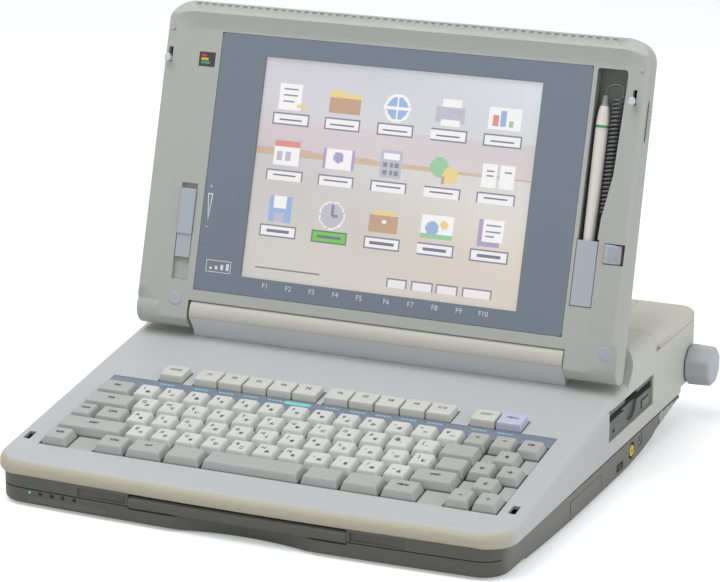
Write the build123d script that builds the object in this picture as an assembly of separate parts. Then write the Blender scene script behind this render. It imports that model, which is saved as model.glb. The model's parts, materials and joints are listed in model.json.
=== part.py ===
from build123d import *
import os
from math import cos, radians, sin, sqrt, tan

# A portable word processor: a keyboard base with a built-in printer behind it,
# and a tilting screen lid. Millimetres. x runs left to right, y from the front
# edge back, z up from the desk.

# case
CASE_HALF = 187.0          # half the width of the base
CASE_DEPTH = 381.5
CASE_BOW = 4.0             # how far the front corners sit behind the front's middle
CORNER = 22.0
REAR_CORNER = 12.0
DECK_ROUND = 6.0           # rounding of the deck's edge
LIP_ROUND = 2.0            # and of the upper case's lower edge
HOUSING_ROUND = 11.0       # rounding of the printer housing's two sides
SPREAD = 0.02              # keeps a rounding section just outside the flat faces
WALL = 2.5
UNDERSIDE = 1.5            # height of the tub's floor above the desk
PARTING = 21.5             # where the tub meets the upper case
DECK_EDGE = 29.8           # height of the sloping deck at the front edge
DECK_SLOPE = 8.65          # degrees
TUB_DEPTH = 347.0
TUB_FRONT = 0.3            # the tub narrows towards the front, below the lip
TUB_FRONT_HALF = 181.0
TUB_FRONT_BOW = 4.2
TUB_STRAIGHT = 155.0
TUB_CORNER = 19.0
TUB_ROUND = 3.0
TUB_TAIL = [(198, -5), (206, 1.4), (260, 5.4), (286, 8.9), (292, 11.6), (340, 19.7),
            (400, 19.7), (400, -5)]
GROOVE = (12.3, 13.3)      # heights of the groove round the tub's front
GROOVE_DEPTH = 1.5
GROOVE_END = 13.0
HOUSING_FRONT = 241.0      # front of the raised printer housing
HOUSING_TOP = 86.0
HOUSING_REAR_TOP = 83.0
AHEAD = 3.0                # how far outlines run past the bowed front before it trims them
GAP = 0.4                  # clearance between parts that move past each other

# lid, in its own frame: x across, v up from the hinge axis, d out of the face
HINGE_Y = 218.5
HINGE_Z = 80.24
LID_LEAN = 16.7            # degrees back from upright, at rest
LID_LEFT = -181.4
LID_RIGHT = 185.4
LID_TOP = 223.2
LID_CORNER = 20.0
LID_EDGE = 5.0             # rounding of the front's outer edge
DISH_LIP = 3.2             # how far the dish's lip stays inside that edge
LID_WALL = 2.2
FACE = 11.0                # the flat face's distance in front of the hinge axis
RIM = 4.5                  # how far the outer rim stands proud of the face
EAR = 12.5                 # radius of the half-round ears
EAR_LEFT = -141.3
EAR_RIGHT = 147.3
LID_BOTTOM = 7.5           # lower edge between the ears
BACK_LOW = -13.0
BACK_HIGH = -4.0
LID_PARTING = 3.0
LID_SPREAD = 0.3           # keeps the rounding loft just outside the flat faces
LID_BACK_ROUND = 9.0
MASK = (-138.5, 15.5, 144.0, 202.0)
SCREEN_WIDTH = 211.2
SCREEN_HEIGHT = 158.4
SCREEN_LEFT = -102.4
SCREEN_LOW = 29.0
SCREEN_DEPTH = 2.0

# hinge
BARREL = 12.0
BARREL_CLEARANCE = 0.9
BARREL_LEFT = 2.0          # gap between the fairing's end and the ear, left and right
BARREL_RIGHT = 0.7
FAIRING_FACE = [(206.63, 78.5), (213.3, 68.5), (216.3, 60.5)]
FOOT_REAR = 9.5            # the fairing's foot behind the hinge axis
PIN = 3.0
PIN_RUNNING = 0.05

# keyboard, in the deck's frame: x across, s up the slope, h out of the deck
PITCH = 19.0
KEY_GAP = 0.8
KEY_TOP = 5.0
KEY_SKIRT = -2.2
KEY_STEM = -5.0
KEY_TAPER = 2.2
ROW_ZERO = 118.35          # middle of the digit row
COLUMN_ZERO = -126.3       # middle of the first digit key
LEFT_EDGE = -164.3
RIGHT_EDGE = 168.2
BLOCK_RIGHT = 130.2        # right edge of the main block of keys
FUNCTION_MIDDLE = 151.6
FUNCTION_DEPTH = 17.4
STRIP_LOW = 128.1
STRIP_HIGH = 142.4
PLATE_TOP = -9.6
SLOT_FROM_HINGE = 181.1    # hook slots in the deck, and how far they reach
SLOT_HALF = 2.6
SLOT_FRONT = 5.6
SLOT_BACK = 5.0

# printer
PLATEN_Y = 368.5
PLATEN_Z = 39.5
PLATEN = 9.0
PLATEN_HALF = 146.0
SHAFT = 4.0
PLATE_X = 152.0
KNOB = 15.0
KNOB_OUTER = 206.5
KNOB_ROUND = 2.6
GEAR_TEETH = 17
PINION_TEETH = 12
GEAR_MODULE = 1.0
GEAR_WIDTH = 5.0
GEAR_X = -159.0
ROD = 3.0
ROD_Y = 334.0
ROD_Z = 36.0
CARRIAGE_HALF = 19.0

# disk drive in the right wall
BAY = (192.5, 34.0, 285.5, 56.0)      # y and z of two corners
DISK = (194.8, 47.0, 284.2, 52.2)
DISK_DEPTH = 92.0
DRIVE_LEFT = 62.0

# printer cover and paper flap
COVER_FRONT = 290.0
COVER_LOW = 70.6
FLAP_HALF = 149.0
FLAP_FRONT = 304.0
FLAP_BACK = 362.0

# carry handle and the finger scoop below it
HANDLE_LEFT = -79.5
HANDLE_RIGHT = 77.5
HANDLE_LOW = 11.2
HANDLE_HIGH = 19.6
HANDLE_BACK = 9.0
SCOOP = 179.0              # radius, middle and depth of the finger scoop
SCOOP_X = 3.0
SCOOP_DEPTH = 9.0

# side door, volume dial, picture jack, side port and status lamps
DOOR = (119.0, 3.4, 178.5, 16.4)
DIAL_Y = 217.0
DIAL_Z = 9.2
DIAL = 9.0
JACK_Y = 241.3
JACK_Z = 13.2
PORT = (256.5, 11.5, 263.0, 20.0)
LAMPS = (-155.6, -147.0, -138.2, -129.6, -120.6)
LAMP_Z = 10.4
VENT = (300.0, 320.0)      # y of the sloping vents' ends, height and spacing at the front
VENT_LOW = 14.1
VENT_STEP = 2.0
VENT_RISE = 3.4

# hinge brackets and rubber feet
HINGE_LEFT = -128.0
HINGE_RIGHT = 134.0
FEET = ((-160, 24), (160, 24), (-160, 240), (160, 240))

# key rows
BOTTOM_UNITS = ((1.1, "left"), (1.02, None), (1.25, "left"), (1.5, "left"), (1.5, "left"),
                (3.8, "space"), (1.5, "right"), (1.5, "right"), (1.375, "right"), (0.95, None),
                (1.0, "arrow"), (1.0, "arrow"))
ARROW_MIDDLE = RIGHT_EDGE - PITCH

# recesses in the lid's face
PEN_POCKET = (146.6, 37.5, 162.4, 84.5)
PEN_BAY = (146.8, 83.0, 170.2, 201.4)
PEN_WALL = 1.6
POCKET_FLOOR = -1.4
SLIDER = (-157.0, 21.4, -144.2, 91.4)
BUTTON = (167.2, 68.4, 182.8, 82.6)

# hooks and their grips, in the lid's frame
HOOK_X = 176.5
HOOK_STEM = 0.9           # half widths of the hook
HOOK_HEAD = 2.2
HOOK_SLOT = 1.5
HOOK_LOW = 177.6
HOOK_HIGH = 187.9
GRIP_LOW = 154.0
GRIP_HIGH = 181.0
LATCH_TRAVEL = 3.0

# bolt caps and rubber stops on the lid
BOLT_CAPS = (-151.7, 177.1)
CAP_V = 7.8
CAP = 4.6
CAP_PROUD = 0.25           # the caps follow the dish, a little proud of it
PADS = (-176.6, 180.0)
PAD_V = 201.8
PAD = 1.6

# pen and its cord
PEN_X = 153.2
PEN_D = 5.4
CORD_TOP = 183.0
CORD = 4.3                 # radius of the curly cord's coil
LEAD = 1.0
LOOP_ROUTE = [(PEN_X, CORD_TOP, PEN_D), (PEN_X, 187.0, PEN_D), (156.0, 190.6, 5.6),
              (160.8, 190.8, 5.8), (162.9, 188.0, 6.2), (162.9, 184.0, 6.2)]
COIL_ROUTE = [(162.9, 184.0, 6.2), (162.7, 153.0, 5.6), (162.3, 126.0, 4.6), (161.8, 98.0, 3.2)]
TAIL_ROUTE = [(161.8, 98.0, 3.2), (162.6, 92.0, 2.4), (166.2, 89.2, 1.6), (166.2, 83.0, 1.6)]

# feed motor and eject button
PITCH_SUM = GEAR_MODULE * (GEAR_TEETH + PINION_TEETH) / 2
MOTOR_Y = PLATEN_Y - PITCH_SUM
EJECT = (CASE_HALF - 12, 263.0, 37.0, 278.0, 42.6)
EJECT_TRAVEL = 4.0

LID = Location((0, HINGE_Y, HINGE_Z), (90 - LID_LEAN, 0, 0))
DECK = Location((0, 0, DECK_EDGE), (DECK_SLOPE, 0, 0))
RISE = tan(radians(DECK_SLOPE))
OVERALL_LEFT = -CASE_HALF
ROW_ORIGIN = Location((-(OVERALL_LEFT + KNOB_OUTER) / 2, -CASE_DEPTH / 2, 0))


def block(x0, y0, z0, x1, y1, z1):
    """A box from its two corners."""
    size = (abs(x1 - x0), abs(y1 - y0), abs(z1 - z0))
    return Pos((x0 + x1) / 2, (y0 + y1) / 2, (z0 + z1) / 2) * Box(*size)


def rod_x(x0, x1, y, z, radius):
    """A cylinder along x."""
    return Pos((x0 + x1) / 2, y, z) * Rot(0, 90, 0) * Cylinder(radius, abs(x1 - x0))


def rod_z(x, y, z0, z1, radius):
    """A cylinder along z."""
    return Pos(x, y, (z0 + z1) / 2) * Cylinder(radius, abs(z1 - z0))


def rounded(points, radii):
    """A closed outline whose corner i is rounded by radii[i]."""
    outline = make_face(Polyline(*points, close=True))
    for point, radius in zip(points, radii):
        if radius:
            corner = outline.vertices().sort_by_distance(Vector(*point))[0]
            outline = fillet(corner, radius)
    return outline


def prism_x(outline, x0, x1):
    """Extrudes a (y, z) outline from x0 to x1."""
    return extrude(Plane.YZ.offset(x0) * outline, x1 - x0)


def prism_z(outline, z0, z1):
    """Extrudes an (x, y) outline from z0 to z1."""
    return extrude(Plane.XY.offset(z0) * outline, z1 - z0)


def rectangle(x0, y0, x1, y1, radius=0):
    """A rectangle from its two corners, rounded if asked."""
    width = x1 - x0
    height = y1 - y0
    shape = RectangleRounded(width, height, radius) if radius else Rectangle(width, height)
    return Pos((x0 + x1) / 2, (y0 + y1) / 2) * shape


def deck_height(y):
    """Height of the deck's surface at y."""
    return DECK_EDGE + RISE * y


def deck_s(y, z):
    """Distance up the slope of a point of the case."""
    slope = radians(DECK_SLOPE)
    return y * cos(slope) + (z - DECK_EDGE) * sin(slope)


# --- base shells -----------------------------------------------------------

def bow_line(half, bow, inset, x):
    """Distance back of a bowed line at x, moved inwards by an inset."""
    radius = (half ** 2 + bow ** 2) / (2 * bow)
    return radius - sqrt((radius - inset) ** 2 - x ** 2)


def plan(inset=0.0):
    """The base from above: bowed front, straight sides."""
    side = CASE_HALF - inset
    rear = CASE_DEPTH + REAR_CORNER / 2 - inset
    low = bow_line(CASE_HALF, CASE_BOW, inset, side)
    front = ThreePointArc((-side, low), (0, inset), (side, low))
    back = Polyline((side, low), (side, rear), (-side, rear), (-side, low))
    outline = make_face(front + back)
    outline = fillet(outline.vertices().group_by(Axis.Y)[0], CORNER - inset)
    return fillet(outline.vertices().group_by(Axis.Y)[-1], REAR_CORNER - inset)


def tub_plan(inset=0.0):
    """The tub from above: like the lip at the front, but narrower there."""
    half = CASE_HALF - inset
    rear = CASE_DEPTH + REAR_CORNER / 2 - inset
    length = TUB_STRAIGHT - TUB_FRONT - TUB_FRONT_BOW
    narrowing = CASE_HALF - TUB_FRONT_HALF
    side = TUB_FRONT_HALF - inset
    low = TUB_FRONT + bow_line(TUB_FRONT_HALF, TUB_FRONT_BOW, inset, side)
    side = CASE_HALF - bow_line(length, narrowing, inset, TUB_STRAIGHT - low)
    middle = (low + TUB_STRAIGHT) / 2
    swell = CASE_HALF - bow_line(length, narrowing, inset, TUB_STRAIGHT - middle)
    front = ThreePointArc((-side, low), (0, TUB_FRONT + inset), (side, low))
    right = ThreePointArc((side, low), (swell, middle), (half, TUB_STRAIGHT))
    left = ThreePointArc((-half, TUB_STRAIGHT), (-swell, middle), (-side, low))
    back = Polyline((half, TUB_STRAIGHT), (half, rear), (-half, rear), (-half, TUB_STRAIGHT))
    outline = make_face(front + right + back + left)
    return fillet(outline.vertices().group_by(Axis.Y)[0], TUB_CORNER - inset)


def housing_profile(floor, inset=0.0):
    """Side outline of the printer housing, carried down to a given floor."""
    foot_y = HOUSING_FRONT - 7
    start = foot_y - 3
    points = [(start, floor), (start, deck_height(start)), (foot_y, deck_height(foot_y)),
              (HOUSING_FRONT - 2, 73), (HOUSING_FRONT, HOUSING_TOP),
              (CASE_DEPTH, HOUSING_REAR_TOP), (CASE_DEPTH, 27),
              (TUB_DEPTH + 3, 27), (TUB_DEPTH + 3, floor)]
    radii = [0, 0, 5, 5, 11, 16, 13.5, 0, 0]
    outline = rounded(points, radii)
    if inset:
        outline = offset(outline, amount=-inset, kind=Kind.INTERSECTION)
    return outline


def housing_section(inset=0.0):
    """Prism along the housing's roof that rounds it off at both sides."""
    half = CASE_HALF + SPREAD - inset
    slope = (HOUSING_REAR_TOP - HOUSING_TOP) / (CASE_DEPTH - HOUSING_FRONT)
    start = 200
    top = HOUSING_TOP + slope * (start - HOUSING_FRONT) + SPREAD - inset
    radius = HOUSING_ROUND - inset
    outline = rounded([(-half, -20), (half, -20), (half, top), (-half, top)],
                      [0, 0, radius, radius])
    level = Plane(origin=(0, start, 0), x_dir=(1, 0, 0), z_dir=(0, -1, 0))
    return extrude(level * outline, 220, dir=Vector(0, 1, slope))


def deck_body(floor, inset=0.0):
    """The part under the sloping deck, with the deck's edge rounded."""
    body = prism_z(plan(inset), floor, HOUSING_TOP)
    above = DECK * block(-400, -100, -inset, 400, 600, 200)
    body = body - above - block(-400, HOUSING_FRONT + 5, -20, 400, 600, 200)
    top = body.faces().sort_by(Axis.Z)[-1]
    edges = top.edges().sort_by(Axis.Y)[:-1]
    return fillet(edges, DECK_ROUND - inset)


def housing_body(inset=0.0):
    """The upper case as one full body."""
    floor = 0 if inset else PARTING
    rear = prism_x(housing_profile(floor, inset), -CASE_HALF - AHEAD, CASE_HALF + AHEAD)
    rear &= prism_z(plan(inset), -10, HOUSING_TOP + 10)
    rear &= housing_section(inset)
    return deck_body(floor, inset) + rear


def cover_region():
    """Where the printer cover replaces the housing."""
    return block(-CASE_HALF - 1, COVER_FRONT, COVER_LOW, CASE_HALF + 1, CASE_DEPTH + 1,
                 HOUSING_TOP + 5)


def key_openings():
    """Openings of the deck: the key block with its strip, and the function keys."""
    low = ROW_ZERO - 4.5 * PITCH - GAP
    cut = block(LEFT_EDGE - GAP, low, -25, RIGHT_EDGE + GAP, STRIP_HIGH, 8)
    half = FUNCTION_DEPTH / 2 + GAP
    for left, right in function_cells():
        cut += block(left - GAP, FUNCTION_MIDDLE - half, -25, right + GAP,
                     FUNCTION_MIDDLE + half, 8)
    return DECK * cut


def latch_slots():
    """Slots in the deck that take the lid's hooks."""
    middle = deck_s(HINGE_Y, HINGE_Z) - SLOT_FROM_HINGE
    cut = Part()
    for x in (-HOOK_X, HOOK_X):
        cut += block(x - SLOT_HALF, middle - SLOT_FRONT, -12, x + SLOT_HALF,
                     middle + SLOT_BACK, 8)
    return DECK * cut


def lip_ledge():
    """Ledge that closes the lip down to the narrower tub."""
    ring = prism_z(plan(1.0), PARTING, PARTING + 1.6)
    ring -= prism_z(tub_plan(WALL + 0.6), PARTING - 1, PARTING + 3)
    return ring & block(-400, -10, 0, 400, 200, 100)


def upper_case():
    body = housing_body()
    under = body.faces().sort_by(Axis.Z)[0]
    shell = fillet(under.outer_wire().edges().sort_by(Axis.Y)[:-1], LIP_ROUND)
    shell = shell - housing_body(WALL) + lip_ledge()
    shell -= cover_region()
    shell -= key_openings()
    shell -= latch_slots()
    y0, z0, y1, z1 = BAY
    shell -= block(CASE_HALF - 10, y0, z0, CASE_HALF + 5, y1, z1)
    shell -= rod_x(CASE_HALF - 10, CASE_HALF + 5, PLATEN_Y, PLATEN_Z, SHAFT + 2)
    for x in (HINGE_LEFT, HINGE_RIGHT):
        shell -= block(x - 4, HINGE_Y - 3, 50, x + 4, HINGE_Y + 7, 75)
    return shell


def tub_body(inset=0.0, floor=UNDERSIDE, top=PARTING):
    """The tub as one full body, its rear running up to meet the upper case."""
    body = prism_z(tub_plan(inset), floor + inset, top)
    edges = body.faces().sort_by(Axis.Z)[0].edges()
    body = fillet(edges, TUB_ROUND - inset)
    tail = make_face(Polyline(*TUB_TAIL, close=True))
    if inset:
        tail = offset(tail, amount=inset, kind=Kind.INTERSECTION)
    body -= prism_x(tail, -CASE_HALF - AHEAD, CASE_HALF + AHEAD)
    return body - block(-400, TUB_DEPTH - inset, -50, 400, 600, 200)


def finger_scoop(grow, top):
    """Hollow in the front below the handle, for the fingers."""
    return Pos(SCOOP_X, SCOOP_DEPTH - SCOOP, 0) * rod_z(0, 0, -10, top, SCOOP + grow)


def lower_case():
    scoop_top = HANDLE_LOW - GAP
    hollow = tub_body(WALL, top=PARTING + 30) - finger_scoop(WALL, scoop_top)
    shell = tub_body() - finger_scoop(0, scoop_top + 0.2) - hollow
    # mouth of the carry handle and the shallow panels beside it
    shell -= block(HANDLE_LEFT - GAP, -2, HANDLE_LOW - GAP, HANDLE_RIGHT + GAP,
                   HANDLE_BACK + GAP, PARTING + 5)
    for x0, x1 in ((-118, HANDLE_LEFT - 2), (HANDLE_RIGHT + 2, 118)):
        shell -= block(x0, -2, 13.6, x1, 3.0, 20)
    low, high = GROOVE
    ring = prism_z(tub_plan(-1), low, high) - prism_z(tub_plan(GROOVE_DEPTH), 0, PARTING)
    shell -= ring & block(-400, -10, 0, 400, GROOVE_END, 100)
    # side door, volume dial, jack, port and vents in the right wall
    wall = CASE_HALF
    shell -= block(wall - 5, DOOR[0] - GAP, DOOR[1] - GAP, wall + 5, DOOR[2] + GAP, DOOR[3] + GAP)
    shell -= block(wall - 5, DIAL_Y - 7, DIAL_Z - 2.8, wall + 5, DIAL_Y + 7, DIAL_Z + 2.8)
    shell -= rod_x(wall - 5, wall + 5, JACK_Y, JACK_Z, 6.2)
    shell -= block(wall - 5, PORT[0], PORT[1], wall + 5, PORT[2], PORT[3])
    for step in range(2):
        low = VENT_LOW + VENT_STEP * step
        slot = [(VENT[0], low), (VENT[1], low + VENT_RISE), (VENT[1], low + VENT_RISE + 1),
                (VENT[0], low + 1)]
        shell -= prism_x(make_face(Polyline(*slot, close=True)), wall - 5, wall + 5)
    # openings for the status lamps
    for x in LAMPS:
        shell -= Pos(x, 3, LAMP_Z) * Rot(90, 0, 0) * Cylinder(1.5, 12)
    return shell


def rubber_feet():
    feet = Part()
    for x, y in FEET:
        feet += rod_z(x, y, 0, UNDERSIDE, 8)
    return feet


def case_screws():
    """Screws from the tub's floor up into the bosses of the upper case."""
    screws = Part()
    for x in (-172, 172):
        for y in (52, 108, 196):
            screws += rod_z(x, y, UNDERSIDE + 0.2, UNDERSIDE + 2.2, 3.2)
            screws += rod_z(x, y, UNDERSIDE + 2.2, PARTING + 4, 1.5)
    return screws


def screw_holes():
    """Clearance for the case screws in the tub's floor."""
    cut = Part()
    for x in (-172, 172):
        for y in (52, 108, 196):
            cut += rod_z(x, y, UNDERSIDE - 2, UNDERSIDE + 2.4, 3.4)
            cut += rod_z(x, y, UNDERSIDE, UNDERSIDE + WALL + 2, 1.7)
    return cut


def carry_handle():
    """A flush bar with a bulging front and two arms that slide out of the front."""
    front = 0.4
    section = rounded([(front, HANDLE_LOW), (front, HANDLE_HIGH), (HANDLE_BACK, HANDLE_HIGH),
                       (HANDLE_BACK, HANDLE_LOW)], [2.6, 3.6, 0, 0])
    bar = prism_x(section, HANDLE_LEFT, HANDLE_RIGHT)
    for x0, x1 in ((HANDLE_LEFT + 1, HANDLE_LEFT + 9), (HANDLE_RIGHT - 9, HANDLE_RIGHT - 1)):
        bar += block(x0, HANDLE_BACK, HANDLE_LOW + 1, x1, 62, HANDLE_HIGH - 2)
    return bar


def handle_guides():
    """Channels inside the tub that carry the handle's arms."""
    guides = Part()
    for middle in (HANDLE_LEFT + 5, HANDLE_RIGHT - 5):
        outer = block(middle - 7, 28, 4, middle + 7, 66, HANDLE_HIGH - 0.4)
        inner = block(middle - 4 - GAP, 27, HANDLE_LOW + 1 - GAP, middle + 4 + GAP, 63.5,
                      HANDLE_HIGH)
        guides += outer - inner
    return guides


def status_lamps():
    lamps = Part()
    for x in LAMPS:
        front = CASE_BOW * (x / CASE_HALF) ** 2
        lamps += Pos(x, front + 2.8, LAMP_Z) * Rot(90, 0, 0) * Cylinder(1.3, 5.6)
    return lamps


def side_door():
    """Small door low in the right wall, hinged along its lower edge."""
    y0, z0, y1, z1 = DOOR
    return block(CASE_HALF - 2, y0, z0, CASE_HALF, y1, z1)


def volume_dial():
    wheel = rod_z(CASE_HALF - DIAL + 0.6, DIAL_Y, DIAL_Z - 2, DIAL_Z + 2, DIAL)
    return wheel - rod_z(CASE_HALF - DIAL + 0.6, DIAL_Y, DIAL_Z - 4, DIAL_Z + 4, 1.5 + PIN_RUNNING)


def dial_spindle():
    x = CASE_HALF - DIAL + 0.6
    return rod_z(x, DIAL_Y, UNDERSIDE + WALL, DIAL_Z + 4, 1.5)


def av_jack():
    """Picture output: a moulded body with a bright sleeve."""
    body = block(CASE_HALF - 18, JACK_Y - 6, JACK_Z - 6, CASE_HALF - 4, JACK_Y + 6, JACK_Z + 6)
    body += rod_x(CASE_HALF - 4, CASE_HALF + 0.4, JACK_Y, JACK_Z, 4)
    return body - rod_x(CASE_HALF - 8, CASE_HALF + 1, JACK_Y, JACK_Z, 1.6)


def side_port():
    y0, z0, y1, z1 = PORT
    body = block(CASE_HALF - 16, y0 + 0.3, z0 + 0.3, CASE_HALF - 0.8, y1 - 0.3, z1 - 0.3)
    return body - block(CASE_HALF - 10, y0 + 1.6, z0 + 1.6, CASE_HALF, y1 - 1.6, z1 - 1.6)


# --- keyboard --------------------------------------------------------------

def function_cells():
    """Left and right of each group of keys behind the strip."""
    return [(-130.4, -130.4 + PITCH), (-103.5, -103.5 + 5 * PITCH),
            (-3.5, -3.5 + 5 * PITCH), (104.5, 104.5 + 2 * PITCH)]


def keycap(left, right, low, high):
    """A tapered cap on a square stem, in the deck's frame."""
    half = KEY_GAP / 2
    foot = rectangle(left + half, low + half, right - half, high - half)
    head = rectangle(left + half + KEY_TAPER, low + half + KEY_TAPER,
                     right - half - KEY_TAPER, high - half - KEY_TAPER / 2)
    cap = loft([Plane.XY.offset(KEY_SKIRT) * foot, Plane.XY.offset(KEY_TOP) * head])
    middle = (left + right) / 2
    level = (low + high) / 2
    return cap + block(middle - 2.5, level - 2.5, KEY_STEM, middle + 2.5, level + 2.5, KEY_SKIRT)


def key_row(row, edges):
    """Caps between successive pairs of edges in one row."""
    high = ROW_ZERO + (0.5 - row) * PITCH
    caps = Part()
    for left, right in edges:
        caps += keycap(left, right, high - PITCH, high)
    return DECK * caps


def run_of_keys(start, count, width=PITCH):
    """Edges of a run of equal keys."""
    return [(start + width * i, start + width * (i + 1)) for i in range(count)]


def function_keys(group, count):
    left = function_cells()[group][0]
    caps = Part()
    low = FUNCTION_MIDDLE - FUNCTION_DEPTH / 2
    for key_left, key_right in run_of_keys(left, count):
        caps += keycap(key_left, key_right, low, low + FUNCTION_DEPTH)
    return DECK * caps


# widths of the bottom row in units of the pitch; None marks a filler


def bottom_cells(kind):
    """Edges of the bottom row's cells of one kind."""
    cells = []
    left = LEFT_EDGE
    for units, label in BOTTOM_UNITS:
        right = left + units * PITCH
        if label == kind:
            cells.append((left, min(right, RIGHT_EDGE)))
        left = right
    return cells


def row_start(row):
    """Left edge of the white keys of a row."""
    return COLUMN_ZERO - PITCH / 2 + (0, 0.5, 0.75, 1.25)[row] * PITCH


def key_groups():
    """Every keycap, by the row or block that it belongs to."""
    ends = [row_start(row) + PITCH * count for row, count in enumerate((13, 12, 12, 11))]
    split = LEFT_EDGE + PITCH
    edge = key_row(0, [(LEFT_EDGE, row_start(0))]) + key_row(1, [(LEFT_EDGE, row_start(1))])
    edge += key_row(2, [(LEFT_EDGE, split), (split, row_start(2))])
    edge += key_row(3, [(LEFT_EDGE, row_start(3))]) + key_row(0, run_of_keys(ends[0], 3))
    for row in (1, 2, 3):
        edge += key_row(row, [(ends[row], BLOCK_RIGHT)])
    middle = ARROW_MIDDLE
    half = PITCH / 2
    arrows = key_row(1, [(middle - half, middle + half)])
    arrows += key_row(2, [(middle - PITCH, middle), (middle, middle + PITCH)])
    arrows += key_row(3, [(middle - half, middle + half)])
    functions = function_keys(0, 1) + function_keys(1, 5) + function_keys(2, 5)
    return {
        "keys_digit_row": key_row(0, run_of_keys(row_start(0), 13)),
        "keys_upper_row": key_row(1, run_of_keys(row_start(1), 12)),
        "keys_home_row": key_row(2, run_of_keys(row_start(2), 12)),
        "keys_lower_row": key_row(3, run_of_keys(row_start(3), 11)),
        "keys_bottom_row": key_row(4, bottom_cells("left") + bottom_cells("right")),
        "space_bar": key_row(4, bottom_cells("space")),
        "edge_keys": edge,
        "function_keys": functions + function_keys(3, 2),
        "arrow_keys": arrows + key_row(4, bottom_cells("arrow")),
    }


def key_fillers():
    """Fixed blanks that fill the gaps between the keys."""
    top = ROW_ZERO + PITCH / 2
    blanks = Part()
    for row in (1, 3):
        high = top - row * PITCH
        for left, right in ((BLOCK_RIGHT, ARROW_MIDDLE - PITCH / 2),
                            (ARROW_MIDDLE + PITCH / 2, RIGHT_EDGE)):
            blanks += block(left + 0.3, high - PITCH + 0.4, PLATE_TOP, right - 0.3, high - 0.4, -0.8)
    high = top - 4 * PITCH
    for left, right in bottom_cells(None):
        blanks += block(left + 0.3, high - PITCH + 0.4, PLATE_TOP, right - 0.3, high - 0.4, -0.8)
    return DECK * blanks


def legend_strip():
    """Coloured strip between the digit row and the function keys."""
    return DECK * block(LEFT_EDGE, STRIP_LOW, -1.6, RIGHT_EDGE, STRIP_HIGH - 0.2, -0.2)


def dome_sheet():
    """Rubber sheet that returns the keys."""
    high = FUNCTION_MIDDLE + FUNCTION_DEPTH / 2
    sheet = block(LEFT_EDGE, ROW_ZERO - 4.5 * PITCH, PLATE_TOP - 0.8, RIGHT_EDGE, high, PLATE_TOP)
    return DECK * sheet


def keyboard_plate():
    """Steel plate under the rubber sheet, with turned-down ends."""
    high = FUNCTION_MIDDLE + FUNCTION_DEPTH / 2
    top = PLATE_TOP - 0.8
    low = ROW_ZERO - 4.5 * PITCH
    plate = block(LEFT_EDGE, low, top - 1.2, RIGHT_EDGE, high, top)
    for x0, x1 in ((LEFT_EDGE, LEFT_EDGE + 1.2), (RIGHT_EDGE - 1.2, RIGHT_EDGE)):
        plate += block(x0, low + 20, top - 4, x1, high, top)
    return DECK * plate


# --- hinge and its fairing -------------------------------------------------

def hinge_cover():
    """Half-round fairing over the hinge, open below."""
    left = EAR_LEFT + BARREL_LEFT
    right = EAR_RIGHT - BARREL_RIGHT
    outer = barrel_shape(left, right, 0)
    inner = barrel_shape(left + 2, right - 2, 2)
    cover = outer - inner
    bores = rod_x(left - 1, left + 4, HINGE_Y, HINGE_Z, PIN + 0.3)
    bores += rod_x(right - 4, right + 1, HINGE_Y, HINGE_Z, PIN + 0.3)
    return cover - bores


def barrel_shape(left, right, inset):
    """The fairing's form: a barrel, flat in front, on a narrower foot."""
    face = [(y + inset, z) for y, z in FAIRING_FACE]
    rear = HINGE_Y + FOOT_REAR - inset
    foot = make_face(Polyline(*face, (face[-1][0], 50), (rear, 50), (rear, HINGE_Z - 5),
                              (HINGE_Y, HINGE_Z), close=True))
    ahead = make_face(Polyline(face[0], face[1], (face[1][0] - 4, 55), (190, 55),
                               (190, face[0][1]), close=True))
    barrel = Pos(HINGE_Y, HINGE_Z) * Circle(BARREL - inset)
    form = prism_x(barrel - ahead + foot, left, right)
    above = DECK * block(-400, 0, 0, 400, 400, 300)
    return form & above


def hinge_bracket(x):
    """Steel post inside the fairing that holds one hinge pin."""
    post = block(x - 3, HINGE_Y + 0.8, 56, x + 3, HINGE_Y + 6, HINGE_Z)
    post += rod_x(x - 3, x + 3, HINGE_Y, HINGE_Z, 7)
    post += block(x - 3, HINGE_Y - 8, 56, x + 12, HINGE_Y + 12, 58)
    return post - rod_x(x - 4, x + 4, HINGE_Y, HINGE_Z, PIN)


def hinge_pin(x0, x1):
    return rod_x(x0, x1, HINGE_Y, HINGE_Z, PIN)


# --- lid -------------------------------------------------------------------

def lid_box(x0, v0, d0, x1, v1, d1):
    return LID * block(x0, v0, d0, x1, v1, d1)


def lid_side(inset=0.0):
    """Side outline of the lid as (v, d)."""
    points = [(0, 9), (14, FACE + RIM), (212, FACE + RIM), (LID_TOP, FACE - 1),
              (LID_TOP, BACK_HIGH), (LID_BOTTOM + 4, BACK_LOW), (0, -11)]
    outline = rounded(points, [0, 6, 5, 3, 6, 5, 0])
    outline += Circle(EAR)
    if inset:
        outline = offset(outline, amount=-inset, kind=Kind.INTERSECTION)
    return outline


def lid_front_outline(inset=0.0):
    """The lid seen face on, ears included."""
    top = LID_TOP
    low = -EAR - 1
    points = [(LID_LEFT, low), (EAR_LEFT, low), (EAR_LEFT, LID_BOTTOM), (EAR_RIGHT, LID_BOTTOM),
              (EAR_RIGHT, low), (LID_RIGHT, low), (LID_RIGHT, top), (LID_LEFT, top)]
    outline = rounded(points, [0, 0, 0, 0, 0, 0, LID_CORNER, LID_CORNER])
    if inset:
        outline = offset(outline, amount=-inset, kind=Kind.INTERSECTION)
    return outline


def lid_form(inset=0.0):
    """The lid's full form in its own frame, shrunk by the inset."""
    body = prism_x(lid_side(inset), LID_LEFT - 1, LID_RIGHT + 1)
    body &= extrude(Plane.XY.offset(-40) * lid_front_outline(inset), 80)
    return body & lid_taper(inset)


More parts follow.
